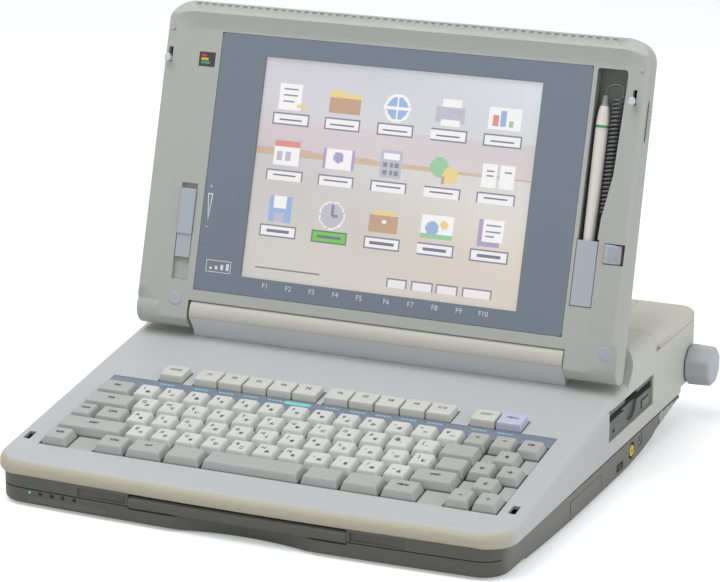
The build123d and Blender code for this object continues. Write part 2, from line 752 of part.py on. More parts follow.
def lid_taper(inset=0.0):
    """Loft that rounds the lid's back and front edges along both sides."""
    left = LID_LEFT - LID_SPREAD + inset
    right = LID_RIGHT + LID_SPREAD - inset
    front = FACE + RIM + LID_SPREAD - inset
    slope = (BACK_HIGH - BACK_LOW) / (LID_TOP - LID_BOTTOM - 4)
    back_round = LID_BACK_ROUND - inset
    front_round = LID_EDGE - inset
    ends = []
    for v in (-30, LID_TOP + 10):
        back = BACK_LOW + slope * (v - LID_BOTTOM - 4) - LID_SPREAD + inset
        outline = rounded([(left, back), (right, back), (right, front), (left, front)],
                          [back_round, back_round, front_round, front_round])
        level = Plane(origin=(0, v, 0), x_dir=(1, 0, 0), z_dir=(0, -1, 0))
        ends.append(level * outline)
    return loft(ends)


def dish():
    """The shallow dish in the face, from the flat middle up to the rim."""
    flat = rectangle(-162, -60, 164, 205, 5)
    lip = rectangle(LID_LEFT + DISH_LIP, -79, LID_RIGHT - DISH_LIP, LID_TOP - DISH_LIP,
                    LID_CORNER - DISH_LIP)
    return loft([Plane.XY.offset(FACE) * flat, Plane.XY.offset(FACE + RIM + 0.2) * lip])


def pen_outline():
    """Mouth of the pen bay, narrower towards its foot."""
    points = [(147.2, 83), (161.2, 83), (161.9, 99), (165.7, 121), (167.2, 129), (169.6, 190),
              (169.6, 201), (147.2, 201)]
    return rounded(points, [0, 0, 0, 5, 0, 0, 3, 1.5])


def lid_shell():
    """Outer skin of the lid before it is parted, in its own frame."""
    shell = lid_form() - dish()
    clearance = BARREL + BARREL_CLEARANCE
    reach = Pos((EAR_LEFT + EAR_RIGHT) / 2, 0, 0) * Rot(0, 90, 0)
    shell -= reach * Cylinder(clearance, EAR_RIGHT - EAR_LEFT)
    shell -= rod_x(-176, 178, 0, 0, PIN + GAP)
    hollow = lid_form(LID_WALL) - block(-400, -40, FACE - LID_WALL, 400, 400, 40)
    hollow -= reach * Cylinder(clearance + LID_WALL, EAR_RIGHT - EAR_LEFT + 2 * LID_WALL)
    return shell - hollow


def lid_cuts():
    """Everything cut through or into the lid's face."""
    x0, v0, x1, v1 = MASK
    cut = block(x0, v0, FACE - 1, x1, v1, 40)
    left = SCREEN_LEFT
    low = SCREEN_LOW
    cut += block(left - 3, low - 3, 0, left + SCREEN_WIDTH + 3, low + SCREEN_HEIGHT + 3, 40)
    cut += extrude(Plane.XY.offset(FACE - LID_WALL - 1) * pen_outline(), 40)
    cut += pen_cavity(0)
    x0, v0, x1, v1 = PEN_POCKET
    cut += block(x0, v0, POCKET_FLOOR, x1, v1, 40)
    x0, v0, x1, v1 = SLIDER
    cut += block(x0, v0, FACE - 3, x1, v1, 40)
    x0, v0, x1, v1 = BUTTON
    cut += block(x0, v0, FACE - 4, x1, v1, 40)
    for side in (-1, 1):
        cut += block(side * HOOK_X - HOOK_SLOT, HOOK_LOW, 5, side * HOOK_X + HOOK_SLOT,
                     HOOK_HIGH, 40)
        cut += block(lid_edge(side, 5), GRIP_LOW + 4, 4.9,
                     lid_edge(side, -5), GRIP_HIGH - 4 + LATCH_TRAVEL, 9.1)
    return cut


def pen_cavity(grow):
    """Space for the pen and its coiled cord, its floor parallel to the lid's back."""
    x0, v0, x1, v1 = PEN_BAY
    slope = (BACK_HIGH - BACK_LOW) / (LID_TOP - LID_BOTTOM - 4)
    depth = BACK_LOW + LID_WALL + GAP + PEN_WALL - grow
    low = depth + slope * (v0 - LID_BOTTOM - 4)
    high = depth + slope * (v1 - LID_BOTTOM - 4)
    top = FACE - LID_WALL + grow / 2
    outline = make_face(Polyline((v0 - grow, low), (v1 + grow, high), (v1 + grow, top),
                                 (v0 - grow, top), close=True))
    return prism_x(outline, x0 - grow, x1 + grow)


def pocket_walls():
    """Walls behind the pen bay, slider and button recesses."""
    walls = pen_cavity(PEN_WALL)
    x0, v0, x1, v1 = PEN_POCKET
    walls += block(x0 - 1.6, v0 - 1.6, POCKET_FLOOR - 1.6, x1 + 1.6, v1 + 1, FACE - 1)
    for x0, v0, x1, v1, depth in ((*SLIDER, 3), (*BUTTON, 4)):
        walls += block(x0 - 1.6, v0 - 1.6, FACE - depth - 1.6, x1 + 1.6, v1 + 1.6, FACE - 1)
    return walls


def lid_front():
    shell = lid_shell() & block(-400, -60, LID_PARTING, 400, 400, 60)
    body = shell + (pocket_walls() - block(-400, -60, FACE - 0.5, 400, 400, 60))
    return LID * (body - lid_cuts() - pad_holes() + bolt_caps())


def lid_back():
    shell = lid_shell() & block(-400, -60, -60, 400, 400, LID_PARTING)
    return LID * shell


def hinge_arm(x0, x1):
    """Die-cast arm inside an ear, turning on the hinge pin."""
    arm = Pos((x0 + x1) / 2, 0, 0) * Rot(0, 90, 0) * Cylinder(7, x1 - x0)
    arm += block(x0, 0, -5, x1, 34, 1.5)
    bore = Pos((x0 + x1) / 2, 0, 0) * Rot(0, 90, 0) * Cylinder(PIN + PIN_RUNNING, x1 - x0 + 2)
    return LID * (arm - bore)


def screen_mask():
    x0, v0, x1, v1 = MASK
    plate = extrude(Plane.XY.offset(FACE - 1) * rectangle(x0 + 0.2, v0 + 0.2, x1 - 0.2, v1 - 0.2, 3), 1)
    left = SCREEN_LEFT
    low = SCREEN_LOW
    window = block(left, low, 0, left + SCREEN_WIDTH, low + SCREEN_HEIGHT, 40)
    return LID * (plate - window)


def screen_layer(grow, top, thickness):
    """One flat layer of the display behind the mask."""
    left = SCREEN_LEFT - grow
    low = SCREEN_LOW - grow
    right = SCREEN_LEFT + SCREEN_WIDTH + grow
    high = SCREEN_LOW + SCREEN_HEIGHT + grow
    return lid_box(left, low, top - thickness, right, high, top)


def inverter_board():
    board = block(-130, 34, 1.0, -110, 150, 2.6)
    board += block(-127, 60, 2.6, -114, 84, 7)
    return LID * board


def brightness_slider():
    """Stepped cap that slides up and down its channel."""
    x0 = SLIDER[0] + 0.5
    x1 = SLIDER[2] - 0.5
    cap = block(x0, 54.5, FACE - 2.7, x1, 87.4, FACE + 1.4)
    cap += block(x0, 37.6, FACE - 2.7, x1, 54.5, FACE + 0.2)
    return LID * cap


def power_slide():
    x0, v0, x1, v1 = BUTTON
    cap = block(x0 + 0.5, v0 + 0.5, FACE - 3.6, x1 - 2.6, v1 - 0.5, FACE + 2.4)
    return LID * cap


def lid_edge(side, inside):
    """x of the lid's side wall, moved in by a distance."""
    return LID_LEFT + inside if side < 0 else LID_RIGHT - inside


def latch(side):
    """Hook through the face and a ribbed grip outside the side wall."""
    hook = side * HOOK_X
    inner = hook - side * HOOK_STEM
    proud = FACE + RIM
    bar = block(inner, 158, 5.4, lid_edge(side, 2.8), 184, 8.6)
    bar += block(hook - HOOK_STEM, HOOK_LOW + GAP, 5.4, hook + HOOK_STEM, HOOK_LOW + 3.7,
                 proud + 5)
    head = rectangle(hook - HOOK_HEAD, 177.2, hook + HOOK_HEAD, 182.8, 2.0)
    bar += extrude(Plane.XY.offset(proud + 2.6) * head, 2.4)
    bar += block(lid_edge(side, 2.8), GRIP_LOW + 5, 5.4, lid_edge(side, -0.3),
                 GRIP_HIGH - 5, 8.6)
    bar += block(lid_edge(side, -0.3), GRIP_LOW, 3.6, lid_edge(side, -1.2), GRIP_HIGH, 10.4)
    return LID * bar


def pen_holder():
    """Pocket over the lower half of the pen."""
    x0, v0, x1, v1 = PEN_POCKET
    outer = block(x0 + 0.4, v0 + 0.4, POCKET_FLOOR + 0.3, x1 - 0.4, v1 - 1.4, FACE + 0.4)
    inner = block(x0 + 1.9, v0 + 2, POCKET_FLOOR + 1.5, x1 - 1.9, v1 + 1, FACE - 1.2)
    return LID * (outer - inner)


def pen_round(v0, v1, r0, r1):
    """One round length of the pen along the lid."""
    section = Cylinder(r0, v1 - v0)
    if abs(r0 - r1) > 1e-6:
        section = Cone(r0, r1, v1 - v0)
    return LID * (Pos(PEN_X, (v0 + v1) / 2, PEN_D) * Rot(-90, 0, 0) * section)


def stylus():
    """Pen body with a point, a ring near the top and a strain relief for its cord."""
    body = pen_round(43, 52, 1.2, 4.0)
    body += pen_round(52, 84, 4.0, 4.0)
    body += pen_round(84, 158.5, 4.0, 4.8)
    body += pen_round(158.5, 163, 4.95, 4.95)
    body += pen_round(163, 168, 4.8, 4.5)
    body += pen_round(168, 176, 4.5, 2.9)
    return body + pen_round(176, CORD_TOP, 2.7, 1.7)


def stylus_cord():
    """The pen's cord: a lead over the top, the coil as one fat tube, and a tail."""
    loop = sweep_route(LOOP_ROUTE, LEAD)
    return loop + sweep_route(COIL_ROUTE, CORD) + sweep_route(TAIL_ROUTE, LEAD)


def sweep_route(points, radius):
    """A round tube along straight runs joined by tangent arcs, in the lid's frame."""
    corners = []
    for before, here, after in zip(points, points[1:], points[2:]):
        first = Vector(*here) - Vector(*before)
        second = Vector(*after) - Vector(*here)
        turn = radians(first.get_angle(second))
        corners.append(0.45 * min(first.length, second.length) / tan(turn / 2))
    path = FilletPolyline(*points, radius=corners)
    print("cord radii", [round(value, 1) for value in corners])
    section = Plane(origin=path @ 0, z_dir=path % 0) * Circle(radius)
    return LID * sweep(section, path)


def lid_pads():
    """Small rubber stops near the top corners of the rim."""
    pads = Part()
    for x in PADS:
        pads += rod_z(x, PAD_V, FACE + RIM - 1.5, FACE + RIM + 0.6, PAD)
    return LID * pads


def pad_holes():
    """Holes in the rim that take the rubber stops."""
    holes = Part()
    for x in PADS:
        holes += rod_z(x, PAD_V, FACE + RIM - 1.5, FACE + RIM + 3, PAD + 0.1)
    return holes


def bolt_caps():
    """Round caps over the lid's screws, following the slope of the rim."""
    caps = Part()
    for x in BOLT_CAPS:
        caps += rod_z(x, CAP_V, FACE - LID_WALL, FACE + RIM, CAP)
    return caps - Pos(0, 0, CAP_PROUD) * dish()


# --- printer ---------------------------------------------------------------

def printer_cover():
    """Hinged cover over the printer, with the mouth for the paper flap."""
    region = block(-CASE_HALF - 1, COVER_FRONT + GAP, COVER_LOW + GAP, CASE_HALF + 1,
                   CASE_DEPTH + 1, HOUSING_TOP + 5)
    skin = (housing_body() & region) - housing_body(WALL)
    mouth = block(-FLAP_HALF, FLAP_FRONT, 60, FLAP_HALF, FLAP_BACK, HOUSING_TOP + 5)
    return skin - mouth


def paper_flap():
    region = block(-FLAP_HALF + GAP, FLAP_FRONT + GAP, 70, FLAP_HALF - GAP, FLAP_BACK - GAP,
                   HOUSING_TOP + 5)
    return (housing_body() & region) - housing_body(WALL - 0.5)


def printer_chassis():
    """Pressed steel base with two side plates that carry the shafts."""
    frame = block(-PLATE_X - 10, 318, 24.6, PLATE_X, 376, 26.2)
    frame &= block(-400, 318, 20, 400, 346, 60)
    for x in (-PLATE_X, PLATE_X):
        frame += block(x - 1, 318, 24.6, x + 1, 373, 56) - block(x - 2, 347, 20, x + 2, 380, 31)
        frame -= rod_x(x - 2, x + 2, PLATEN_Y, PLATEN_Z, SHAFT + PIN_RUNNING)
        frame -= rod_x(x - 2, x + 2, ROD_Y, ROD_Z, ROD)
    bracket = block(-164, 340, 31, -162.5, 360, 52) + block(-164, 340, 24.6, -162.5, 346, 31)
    frame += bracket - rod_x(-166, -160, MOTOR_Y, PLATEN_Z, 2)
    return frame + block(-164, 340, 24.6, -PLATE_X, 346, 26.2)


def spur(teeth, first_angle, bore):
    """A spur gear with straight-sided teeth, in the (y, z) plane."""
    pitch_radius = GEAR_MODULE * teeth / 2
    root = pitch_radius - 1.25 * GEAR_MODULE
    tip = pitch_radius + 0.9 * GEAR_MODULE
    half_root = 0.85 * GEAR_MODULE
    half_tip = 0.32 * GEAR_MODULE
    tooth = make_face(Polyline((root - 0.4, -half_root), (tip, -half_tip), (tip, half_tip),
                               (root - 0.4, half_root), close=True))
    outline = Circle(root)
    for index in range(teeth):
        outline += Rot(0, 0, first_angle + 360 * index / teeth) * tooth
    return outline - Circle(bore)


def platen_gear():
    outline = spur(GEAR_TEETH, 180, SHAFT - 1)
    gear = prism_x(outline, GEAR_X, GEAR_X + GEAR_WIDTH)
    return Pos(0, PLATEN_Y, PLATEN_Z) * gear


def feed_pinion():
    outline = spur(PINION_TEETH, 180 / PINION_TEETH, 1.5)
    gear = prism_x(outline, GEAR_X, GEAR_X + GEAR_WIDTH)
    return Pos(0, MOTOR_Y, PLATEN_Z) * gear


def motor_shaft():
    return rod_x(-168, GEAR_X + GEAR_WIDTH, MOTOR_Y, PLATEN_Z, 1.5)


def feed_motor():
    body = rod_x(-182, -164, MOTOR_Y, PLATEN_Z, 9.5)
    return body - rod_x(-170, -160, MOTOR_Y, PLATEN_Z, 1.5 + PIN_RUNNING)


def platen_shaft():
    shaft = rod_x(-PLATE_X - 1, CASE_HALF + 3, PLATEN_Y, PLATEN_Z, SHAFT)
    return shaft + rod_x(GEAR_X, -PLATE_X - 1, PLATEN_Y, PLATEN_Z, SHAFT - 1)


def platen_roller():
    tube = rod_x(-PLATEN_HALF, PLATEN_HALF, PLATEN_Y, PLATEN_Z, PLATEN)
    return tube - rod_x(-PLATEN_HALF - 1, PLATEN_HALF + 1, PLATEN_Y, PLATEN_Z, SHAFT)


def feed_knob():
    """Knob with broad rounded flats, slightly narrower at its outer end."""
    sides = 8
    inner = RegularPolygon(KNOB + 0.8, sides, major_radius=True) & Circle(KNOB)
    start = CASE_HALF + 0.8
    body = extrude(Plane.YZ.offset(start) * inner, KNOB_OUTER - start, taper=2)
    body = fillet(body.faces().sort_by(Axis.X)[-1].edges(), KNOB_ROUND)
    body = Pos(0, PLATEN_Y, PLATEN_Z) * body
    return body - rod_x(start - 1, CASE_HALF + 3, PLATEN_Y, PLATEN_Z, SHAFT)


def guide_rod():
    return rod_x(-PLATE_X - 1, PLATE_X + 1, ROD_Y, ROD_Z, ROD)


def carriage():
    body = block(-CARRIAGE_HALF, 324, 29, CARRIAGE_HALF, 347, 50)
    return body - rod_x(-CARRIAGE_HALF - 1, CARRIAGE_HALF + 1, ROD_Y, ROD_Z, ROD + PIN_RUNNING)


def print_head():
    return block(-8, 347, 34, 8, PLATEN_Y - PLATEN - 0.8, 45)


def ribbon_cassette():
    case = block(-CARRIAGE_HALF - 4, 320, 50, CARRIAGE_HALF + 4, 350, 60)
    for x in (-11, 11):
        case -= rod_z(x, 335, 56, 62, 4)
    return case


def belt_loop():
    """Toothed belt behind the carriage, round two pulleys."""
    loop = SlotCenterToCenter(2 * 138, 12) - SlotCenterToCenter(2 * 138, 9.6)
    return Pos(0, 316, 40) * Rot(90, 0, 0) * extrude(loop, 5)


def carriage_motor():
    body = rod_along_y(138, 292, 310, 40, 12)
    body += rod_along_y(138, 310, 316, 40, 4.6)
    return body


def rod_along_y(x, y0, y1, z, radius):
    return Pos(x, (y0 + y1) / 2, z) * Rot(90, 0, 0) * Cylinder(radius, y1 - y0)


# --- disk drive and electronics --------------------------------------------

def disk_drive():
    y0, z0, y1, z1 = DISK
    body = block(DRIVE_LEFT, BAY[0] - 1, 31, CASE_HALF - 6, BAY[2] + 1, 55.4)
    body -= block(CASE_HALF - 6 - DISK_DEPTH, y0, z0, CASE_HALF, y1, z1)
    notch = block(EJECT[0] - 1, EJECT[1] - 1, EJECT[2] - 1, CASE_HALF, EJECT[3] + 1, EJECT[4] + 1)
    return body - notch


def disk_bezel():
    """Recessed front of the disk drive with a finger notch."""
    y0, z0, y1, z1 = BAY
    low = CASE_HALF - 6
    plate = block(low, y0 + 0.3, z0 + 0.3, CASE_HALF - 1.2, y1 - 0.3, z1 - 0.3)
    a, b, c, d = DISK
    plate -= block(low - 1, a, b, CASE_HALF + 1, c, d)
    plate -= Pos(CASE_HALF, 240, 49) * Rot(0, 90, 0) * Cylinder(13, 7)
    plate -= block(low - 1, EJECT[1] - GAP, EJECT[2] - GAP, CASE_HALF + 1, EJECT[3] + GAP,
                   EJECT[4] + GAP)
    return plate - block(CASE_HALF - 3, 203, 37.6, CASE_HALF, 207, 40)


def eject_button():
    x0, y0, z0, y1, z1 = EJECT
    return block(x0 + EJECT_TRAVEL, y0, z0, CASE_HALF - 0.6, y1, z1)


def drive_lamp():
    return block(CASE_HALF - 2.8, 203.2, 37.8, CASE_HALF - 1.0, 206.8, 39.8)


def main_board():
    board = block(-60, 70, 8.4, 150, 240, 10)
    for x, y, width, depth in ((-30, 100, 28, 28), (20, 110, 24, 24), (70, 100, 40, 14),
                               (70, 130, 40, 14), (10, 180, 50, 20), (100, 190, 30, 30)):
        board += block(x, y, 10, x + width, y + depth, 13)
    return board


def power_supply():
    return block(-168, 174, 7.6, -72, 244, 44)


def speaker():
    return rod_z(-110, 120, 5, 14, 24) + rod_z(-110, 120, 14, 18, 12)


def tub_fittings():
    """Posts, the dial's spindle and the handle's guides, moulded into the tub."""
    posts = handle_guides() + dial_spindle()
    for x in (-54, 144):
        for y in (76, 234):
            posts += rod_z(x, y, UNDERSIDE + WALL - 1, 8.4, 3)
    return posts


# --- export ----------------------------------------------------------------

def all_nodes():
    nodes = {
        "lower_case": lower_case() - screw_holes() + tub_fittings(),
        "upper_case": upper_case(),
        "rubber_feet": rubber_feet(),
        "case_screws": case_screws(),
        "carry_handle": carry_handle(),
        "status_lamps": status_lamps() + drive_lamp(),
        "side_door": side_door(),
        "volume_dial": volume_dial(),
        "side_sockets": av_jack() + side_port(),
        "key_fillers": key_fillers(),
        "legend_strip": legend_strip(),
        "dome_sheet": dome_sheet(),
        "keyboard_plate": keyboard_plate(),
        "hinge_cover": hinge_cover(),
        "hinge_brackets": hinge_bracket(HINGE_LEFT) + hinge_bracket(HINGE_RIGHT),
        "hinge_pins": hinge_pin(HINGE_LEFT - 3, -172) + hinge_pin(HINGE_RIGHT - 3, 176),
        "main_board": main_board(),
        "power_supply": power_supply(),
        "speaker": speaker(),
        "disk_drive": disk_drive(),
        "disk_bezel": disk_bezel(),
        "eject_button": eject_button(),
        "printer_chassis": printer_chassis(),
        "platen_shaft": platen_shaft(),
        "platen_roller": platen_roller(),
        "platen_gear": platen_gear(),
        "feed_knob": feed_knob(),
        "printer_motors": feed_motor() + carriage_motor(),
        "feed_pinion": feed_pinion() + motor_shaft(),
        "guide_rod": guide_rod(),
        "carriage": carriage(),
        "print_head": print_head(),
        "ribbon_cassette": ribbon_cassette(),
        "carriage_belt": belt_loop(),
        "printer_cover": printer_cover(),
        "paper_flap": paper_flap(),
        "lid_front": lid_front(),
        "lid_back": lid_back(),
        "hinge_arms": hinge_arm(-170, -146) + hinge_arm(151, 174),
        "screen_mask": screen_mask(),
        "touch_glass": screen_layer(0.0, FACE - SCREEN_DEPTH, 1.1),
        "lcd_panel": screen_layer(2.5, FACE - SCREEN_DEPTH - 1.1, 5.0),
        "inverter_board": inverter_board(),
        "brightness_slider": brightness_slider(),
        "power_slide": power_slide(),
        "latch_left": latch(-1),
        "latch_right": latch(1),
        "pen_holder": pen_holder(),
        "stylus": stylus(),
        "stylus_cord": stylus_cord(),
        "lid_pads": lid_pads(),
    }
    nodes.update(key_groups())
    return nodes


def main():
    os.makedirs("parts", exist_ok=True)
    for name, shape in all_nodes().items():
        export_step(shape.moved(ROW_ORIGIN), f"parts/{name}.step")
        print(name)


main()
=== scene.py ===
import json
import math
import bmesh
import bpy
from mathutils import Matrix, Vector

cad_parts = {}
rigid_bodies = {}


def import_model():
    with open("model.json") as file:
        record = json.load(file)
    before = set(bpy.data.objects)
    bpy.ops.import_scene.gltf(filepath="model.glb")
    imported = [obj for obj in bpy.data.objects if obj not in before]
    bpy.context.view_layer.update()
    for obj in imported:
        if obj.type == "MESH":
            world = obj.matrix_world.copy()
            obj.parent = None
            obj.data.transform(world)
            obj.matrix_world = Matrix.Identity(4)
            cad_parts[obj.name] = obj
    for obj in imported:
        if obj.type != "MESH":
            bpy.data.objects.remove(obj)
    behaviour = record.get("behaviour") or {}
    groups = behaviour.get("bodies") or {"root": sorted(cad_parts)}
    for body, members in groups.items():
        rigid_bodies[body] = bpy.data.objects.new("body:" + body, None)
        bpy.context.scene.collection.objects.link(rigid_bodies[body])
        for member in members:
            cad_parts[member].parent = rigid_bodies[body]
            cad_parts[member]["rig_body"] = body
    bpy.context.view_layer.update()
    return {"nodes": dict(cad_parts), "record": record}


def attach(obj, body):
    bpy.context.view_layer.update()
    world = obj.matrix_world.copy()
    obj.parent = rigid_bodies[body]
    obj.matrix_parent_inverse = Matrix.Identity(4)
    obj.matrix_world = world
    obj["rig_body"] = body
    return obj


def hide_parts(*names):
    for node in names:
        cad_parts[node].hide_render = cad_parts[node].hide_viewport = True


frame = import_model()
nodes = frame["nodes"]
print("stage: frame loaded,", len(nodes), "nodes")

# frames of the base, the sloping deck and the lid, all in millimetres
mm = 0.001
placing = {"shift": (-9.75, -190.75, 0.0), "hinge": (0, 218.5, 80.24), "lean": 16.7,
           "deckEdge": (0, 0, 29.8), "slope": 8.65}
caseFrame = Matrix.Scale(mm, 4) @ Matrix.Translation(placing["shift"])
lidFrame = (caseFrame @ Matrix.Translation(placing["hinge"])
            @ Matrix.Rotation(math.radians(90 - placing["lean"]), 4, "X"))
deckFrame = (caseFrame @ Matrix.Translation(placing["deckEdge"])
             @ Matrix.Rotation(math.radians(placing["slope"]), 4, "X"))


def srgb(red, green, blue):
    # a screen colour from 0 to 255 as the linear colour that shaders take
    linear = []
    for value in (red, green, blue):
        part = value / 255
        linear.append(part / 12.92 if part <= 0.04045 else ((part + 0.055) / 1.055) ** 2.4)
    return (*linear, 1.0)


def linked(name, data):
    # an object put into the scene
    item = bpy.data.objects.new(name, data)
    bpy.context.scene.collection.objects.link(item)
    return item


def meshOf(shape, name, outward=True):
    # the finished mesh of a shape, its faces turned outwards
    if outward:
        bmesh.ops.recalc_face_normals(shape, faces=shape.faces)
    mesh = bpy.data.meshes.new(name)
    shape.to_mesh(mesh)
    shape.free()
    return mesh


def setInputs(tree, node, values):
    # each input is set to a value or linked to another node's output
    for label, value in values.items():
        if isinstance(value, bpy.types.NodeSocket):
            tree.links.new(value, node.inputs[label])
        else:
            node.inputs[label].default_value = value


def addNode(tree, kind, values=None, **settings):
    node = tree.nodes.new("ShaderNode" + kind)
    for label, value in settings.items():
        setattr(node, label, value)
    setInputs(tree, node, values or {})
    return node


def mathNode(tree, operation, first, second):
    return addNode(tree, "Math", {0: first, 1: second}, operation=operation).outputs[0]


def newMaterial(name, values):
    # a material, its tree and its surface, with the plain inputs set
    material = bpy.data.materials.new(name)
    material.use_nodes = True
    tree = material.node_tree
    surface = tree.nodes["Principled BSDF"]
    setInputs(tree, surface, values)
    return material, tree, surface


def tidyMesh(mesh, smooth=True):
    mesh.polygons.foreach_set("use_smooth", [smooth] * len(mesh.polygons))
    mesh.update()


def place(name, mesh, material, body, replaced=()):
    # a finished piece: its object at the origin, its place in its mesh
    piece = linked(name, mesh)
    if material and not mesh.materials:
        mesh.materials.append(material)
    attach(piece, body)
    if replaced:
        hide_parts(*replaced)
    return piece


# --- camera, light and floor
camera = {"place": (784.39, -1779.32, 692.76), "azimuth": 23.97312524, "elevation": 16.39413794,
          "roll": 0.09962255, "lens": 146.35}


def makeCamera(values):
    azimuth = math.radians(values["azimuth"])
    elevation = math.radians(values["elevation"])
    roll = math.radians(values["roll"])
    back = Vector((math.sin(azimuth) * math.cos(elevation),
                   -math.cos(azimuth) * math.cos(elevation), math.sin(elevation)))
    right = (-back).cross(Vector((0, 0, 1))).normalized()
    up = right.cross(-back)
    across = math.cos(roll) * right + math.sin(roll) * up
    upright = -math.sin(roll) * right + math.cos(roll) * up
    data = bpy.data.cameras.new("studioCamera")
    data.lens = values["lens"]
    data.sensor_width = 36
    data.clip_start = 0.05
    data.clip_end = 50
    eye = linked("studioCamera", data)
    turned = Matrix((across, upright, back)).transposed().to_4x4()
    eye.matrix_world = Matrix.Translation(Vector(values["place"]) * mm) @ turned
    bpy.context.scene.camera = eye


studio = {"floor": 4.0, "lamps": [("keyLamp", (-0.45, -0.45, 2.1), 1.5, 27),
                                  ("fillLamp", (2.1, -0.35, 0.9), 1.3, 12)],
          "ambient": 0.5, "air": (0.93, 0.96, 1.0, 1), "floorShade": (0.92, 0.92, 0.92, 1),
          "floorGlow": 0.34}


def makeStudio(values):
    half = values["floor"]
    corners = [(-half, -half, 0), (half, -half, 0), (half, half, 0), (-half, half, 0)]
    mesh = bpy.data.meshes.new("paleFloor")
    mesh.from_pydata(corners, [], [(0, 1, 2, 3)])
    floor = linked("paleFloor", mesh)
    mesh.materials.append(paleFloorMaterial())
    for name, spot, size, power in values["lamps"]:
        data = bpy.data.lights.new(name, "AREA")
        data.size = size
        data.energy = power
        lamp = bpy.data.objects.new(name, data)
        lamp.location = spot
        aim = Vector((0, 0, 0.1)) - Vector(spot)
        lamp.rotation_euler = aim.to_track_quat("-Z", "Y").to_euler()
        bpy.context.scene.collection.objects.link(lamp)
    world = bpy.data.worlds.new("studioAir")
    bpy.context.scene.world = world
    world.use_nodes = True
    tree = world.node_tree
    tree.nodes.clear()
    rays = addNode(tree, "LightPath").outputs
    ambient = addNode(tree, "Background", {"Color": values["air"], "Strength": values["ambient"]})
    shown = addNode(tree, "Background", {"Color": (1, 1, 1, 1)})
    seen = mathNode(tree, "MAXIMUM", rays["Is Camera Ray"], rays["Is Glossy Ray"])
    mix = addNode(tree, "MixShader", {0: seen, 1: ambient.outputs[0], 2: shown.outputs[0]})
    addNode(tree, "OutputWorld", {"Surface": mix.outputs[0]})


def paleFloorMaterial():
    material, tree, surface = newMaterial("paleFloor", {
        "Base Color": studio["floorShade"], "Roughness": 0.9, "Specular IOR Level": 0.1,
        "Emission Color": (1, 1, 1, 1)})
    seen = addNode(tree, "LightPath").outputs["Is Camera Ray"]
    glow = mathNode(tree, "MULTIPLY", seen, studio["floorGlow"])
    setInputs(tree, surface, {"Emission Strength": glow})
    return material


makeCamera(camera)
makeStudio(studio)
bpy.context.scene.view_settings.view_transform = "Standard"
print("stage: camera and studio")

# --- shader groups


def newGroup(name, inputs, outputs):
    tree = bpy.data.node_groups.new(name, "ShaderNodeTree")
    for label, kind, value in inputs:
        socket = tree.interface.new_socket(label, in_out="INPUT", socket_type=kind)
        socket.default_value = value
    for label, kind in outputs:
        tree.interface.new_socket(label, in_out="OUTPUT", socket_type=kind)
    return tree, tree.nodes.new("NodeGroupInput").outputs, tree.nodes.new("NodeGroupOutput")


def noiseNode(tree, scale, detail=2.0, roughness=0.5):
    spot = addNode(tree, "TexCoord").outputs["Object"]
    noise = addNode(tree, "TexNoise", {"Vector": spot, "Scale": scale, "Detail": detail,
                                       "Roughness": roughness})
    return noise.outputs["Fac"]


def rampNode(tree, value, low, high):
    ramp = addNode(tree, "MapRange", {"Value": value, "From Min": low, "From Max": high},
                   interpolation_type="SMOOTHSTEP")
    return ramp.outputs["Result"]


def colourMix(tree, factor, first, second):
    # colours need the mix node's type before its inputs
    mix = addNode(tree, "Mix", data_type="RGBA")
    setInputs(tree, mix, {"Factor": factor, "A": first, "B": second})
    return mix.outputs["Result"]


def makeMouldGrain():
    # the fine spark-eroded grain of a moulded shell
    tree, inn, out = newGroup("mouldGrain", [("Scale", "NodeSocketFloat", 2200.0),
                                             ("Depth", "NodeSocketFloat", 1.0)],
                              [("Height", "NodeSocketFloat")])
    coarse = noiseNode(tree, inn["Scale"], 3.0, 0.6)
    fine = noiseNode(tree, mathNode(tree, "MULTIPLY", inn["Scale"], 2.7), 1.0)
    both = mathNode(tree, "ADD", coarse, mathNode(tree, "MULTIPLY", fine, 0.6))
    setInputs(tree, out, {"Height": mathNode(tree, "MULTIPLY", both, inn["Depth"])})
    return tree


def makeEdgeWear():
    # a mask along sharp edges, broken up by noise
    tree, inn, out = newGroup("edgeWear", [("Radius", "NodeSocketFloat", 0.001),
                                           ("Amount", "NodeSocketFloat", 0.5),
                                           ("Breakup", "NodeSocketFloat", 160.0)],
                              [("Mask", "NodeSocketFloat")])
    bevel = addNode(tree, "Bevel", {"Radius": inn["Radius"]}, samples=4)
    shape = addNode(tree, "NewGeometry")
    dot = addNode(tree, "VectorMath", {0: bevel.outputs[0], 1: shape.outputs["Normal"]},
                  operation="DOT_PRODUCT")
    sharp = mathNode(tree, "MULTIPLY", mathNode(tree, "SUBTRACT", 1.0, dot.outputs["Value"]), 4.0)
    broken = mathNode(tree, "MULTIPLY", sharp, noiseNode(tree, inn["Breakup"], 4.0, 0.7))
    worn = mathNode(tree, "MULTIPLY", broken, inn["Amount"])
    setInputs(tree, out, {"Mask": mathNode(tree, "MINIMUM", worn, 1.0)})
    return tree


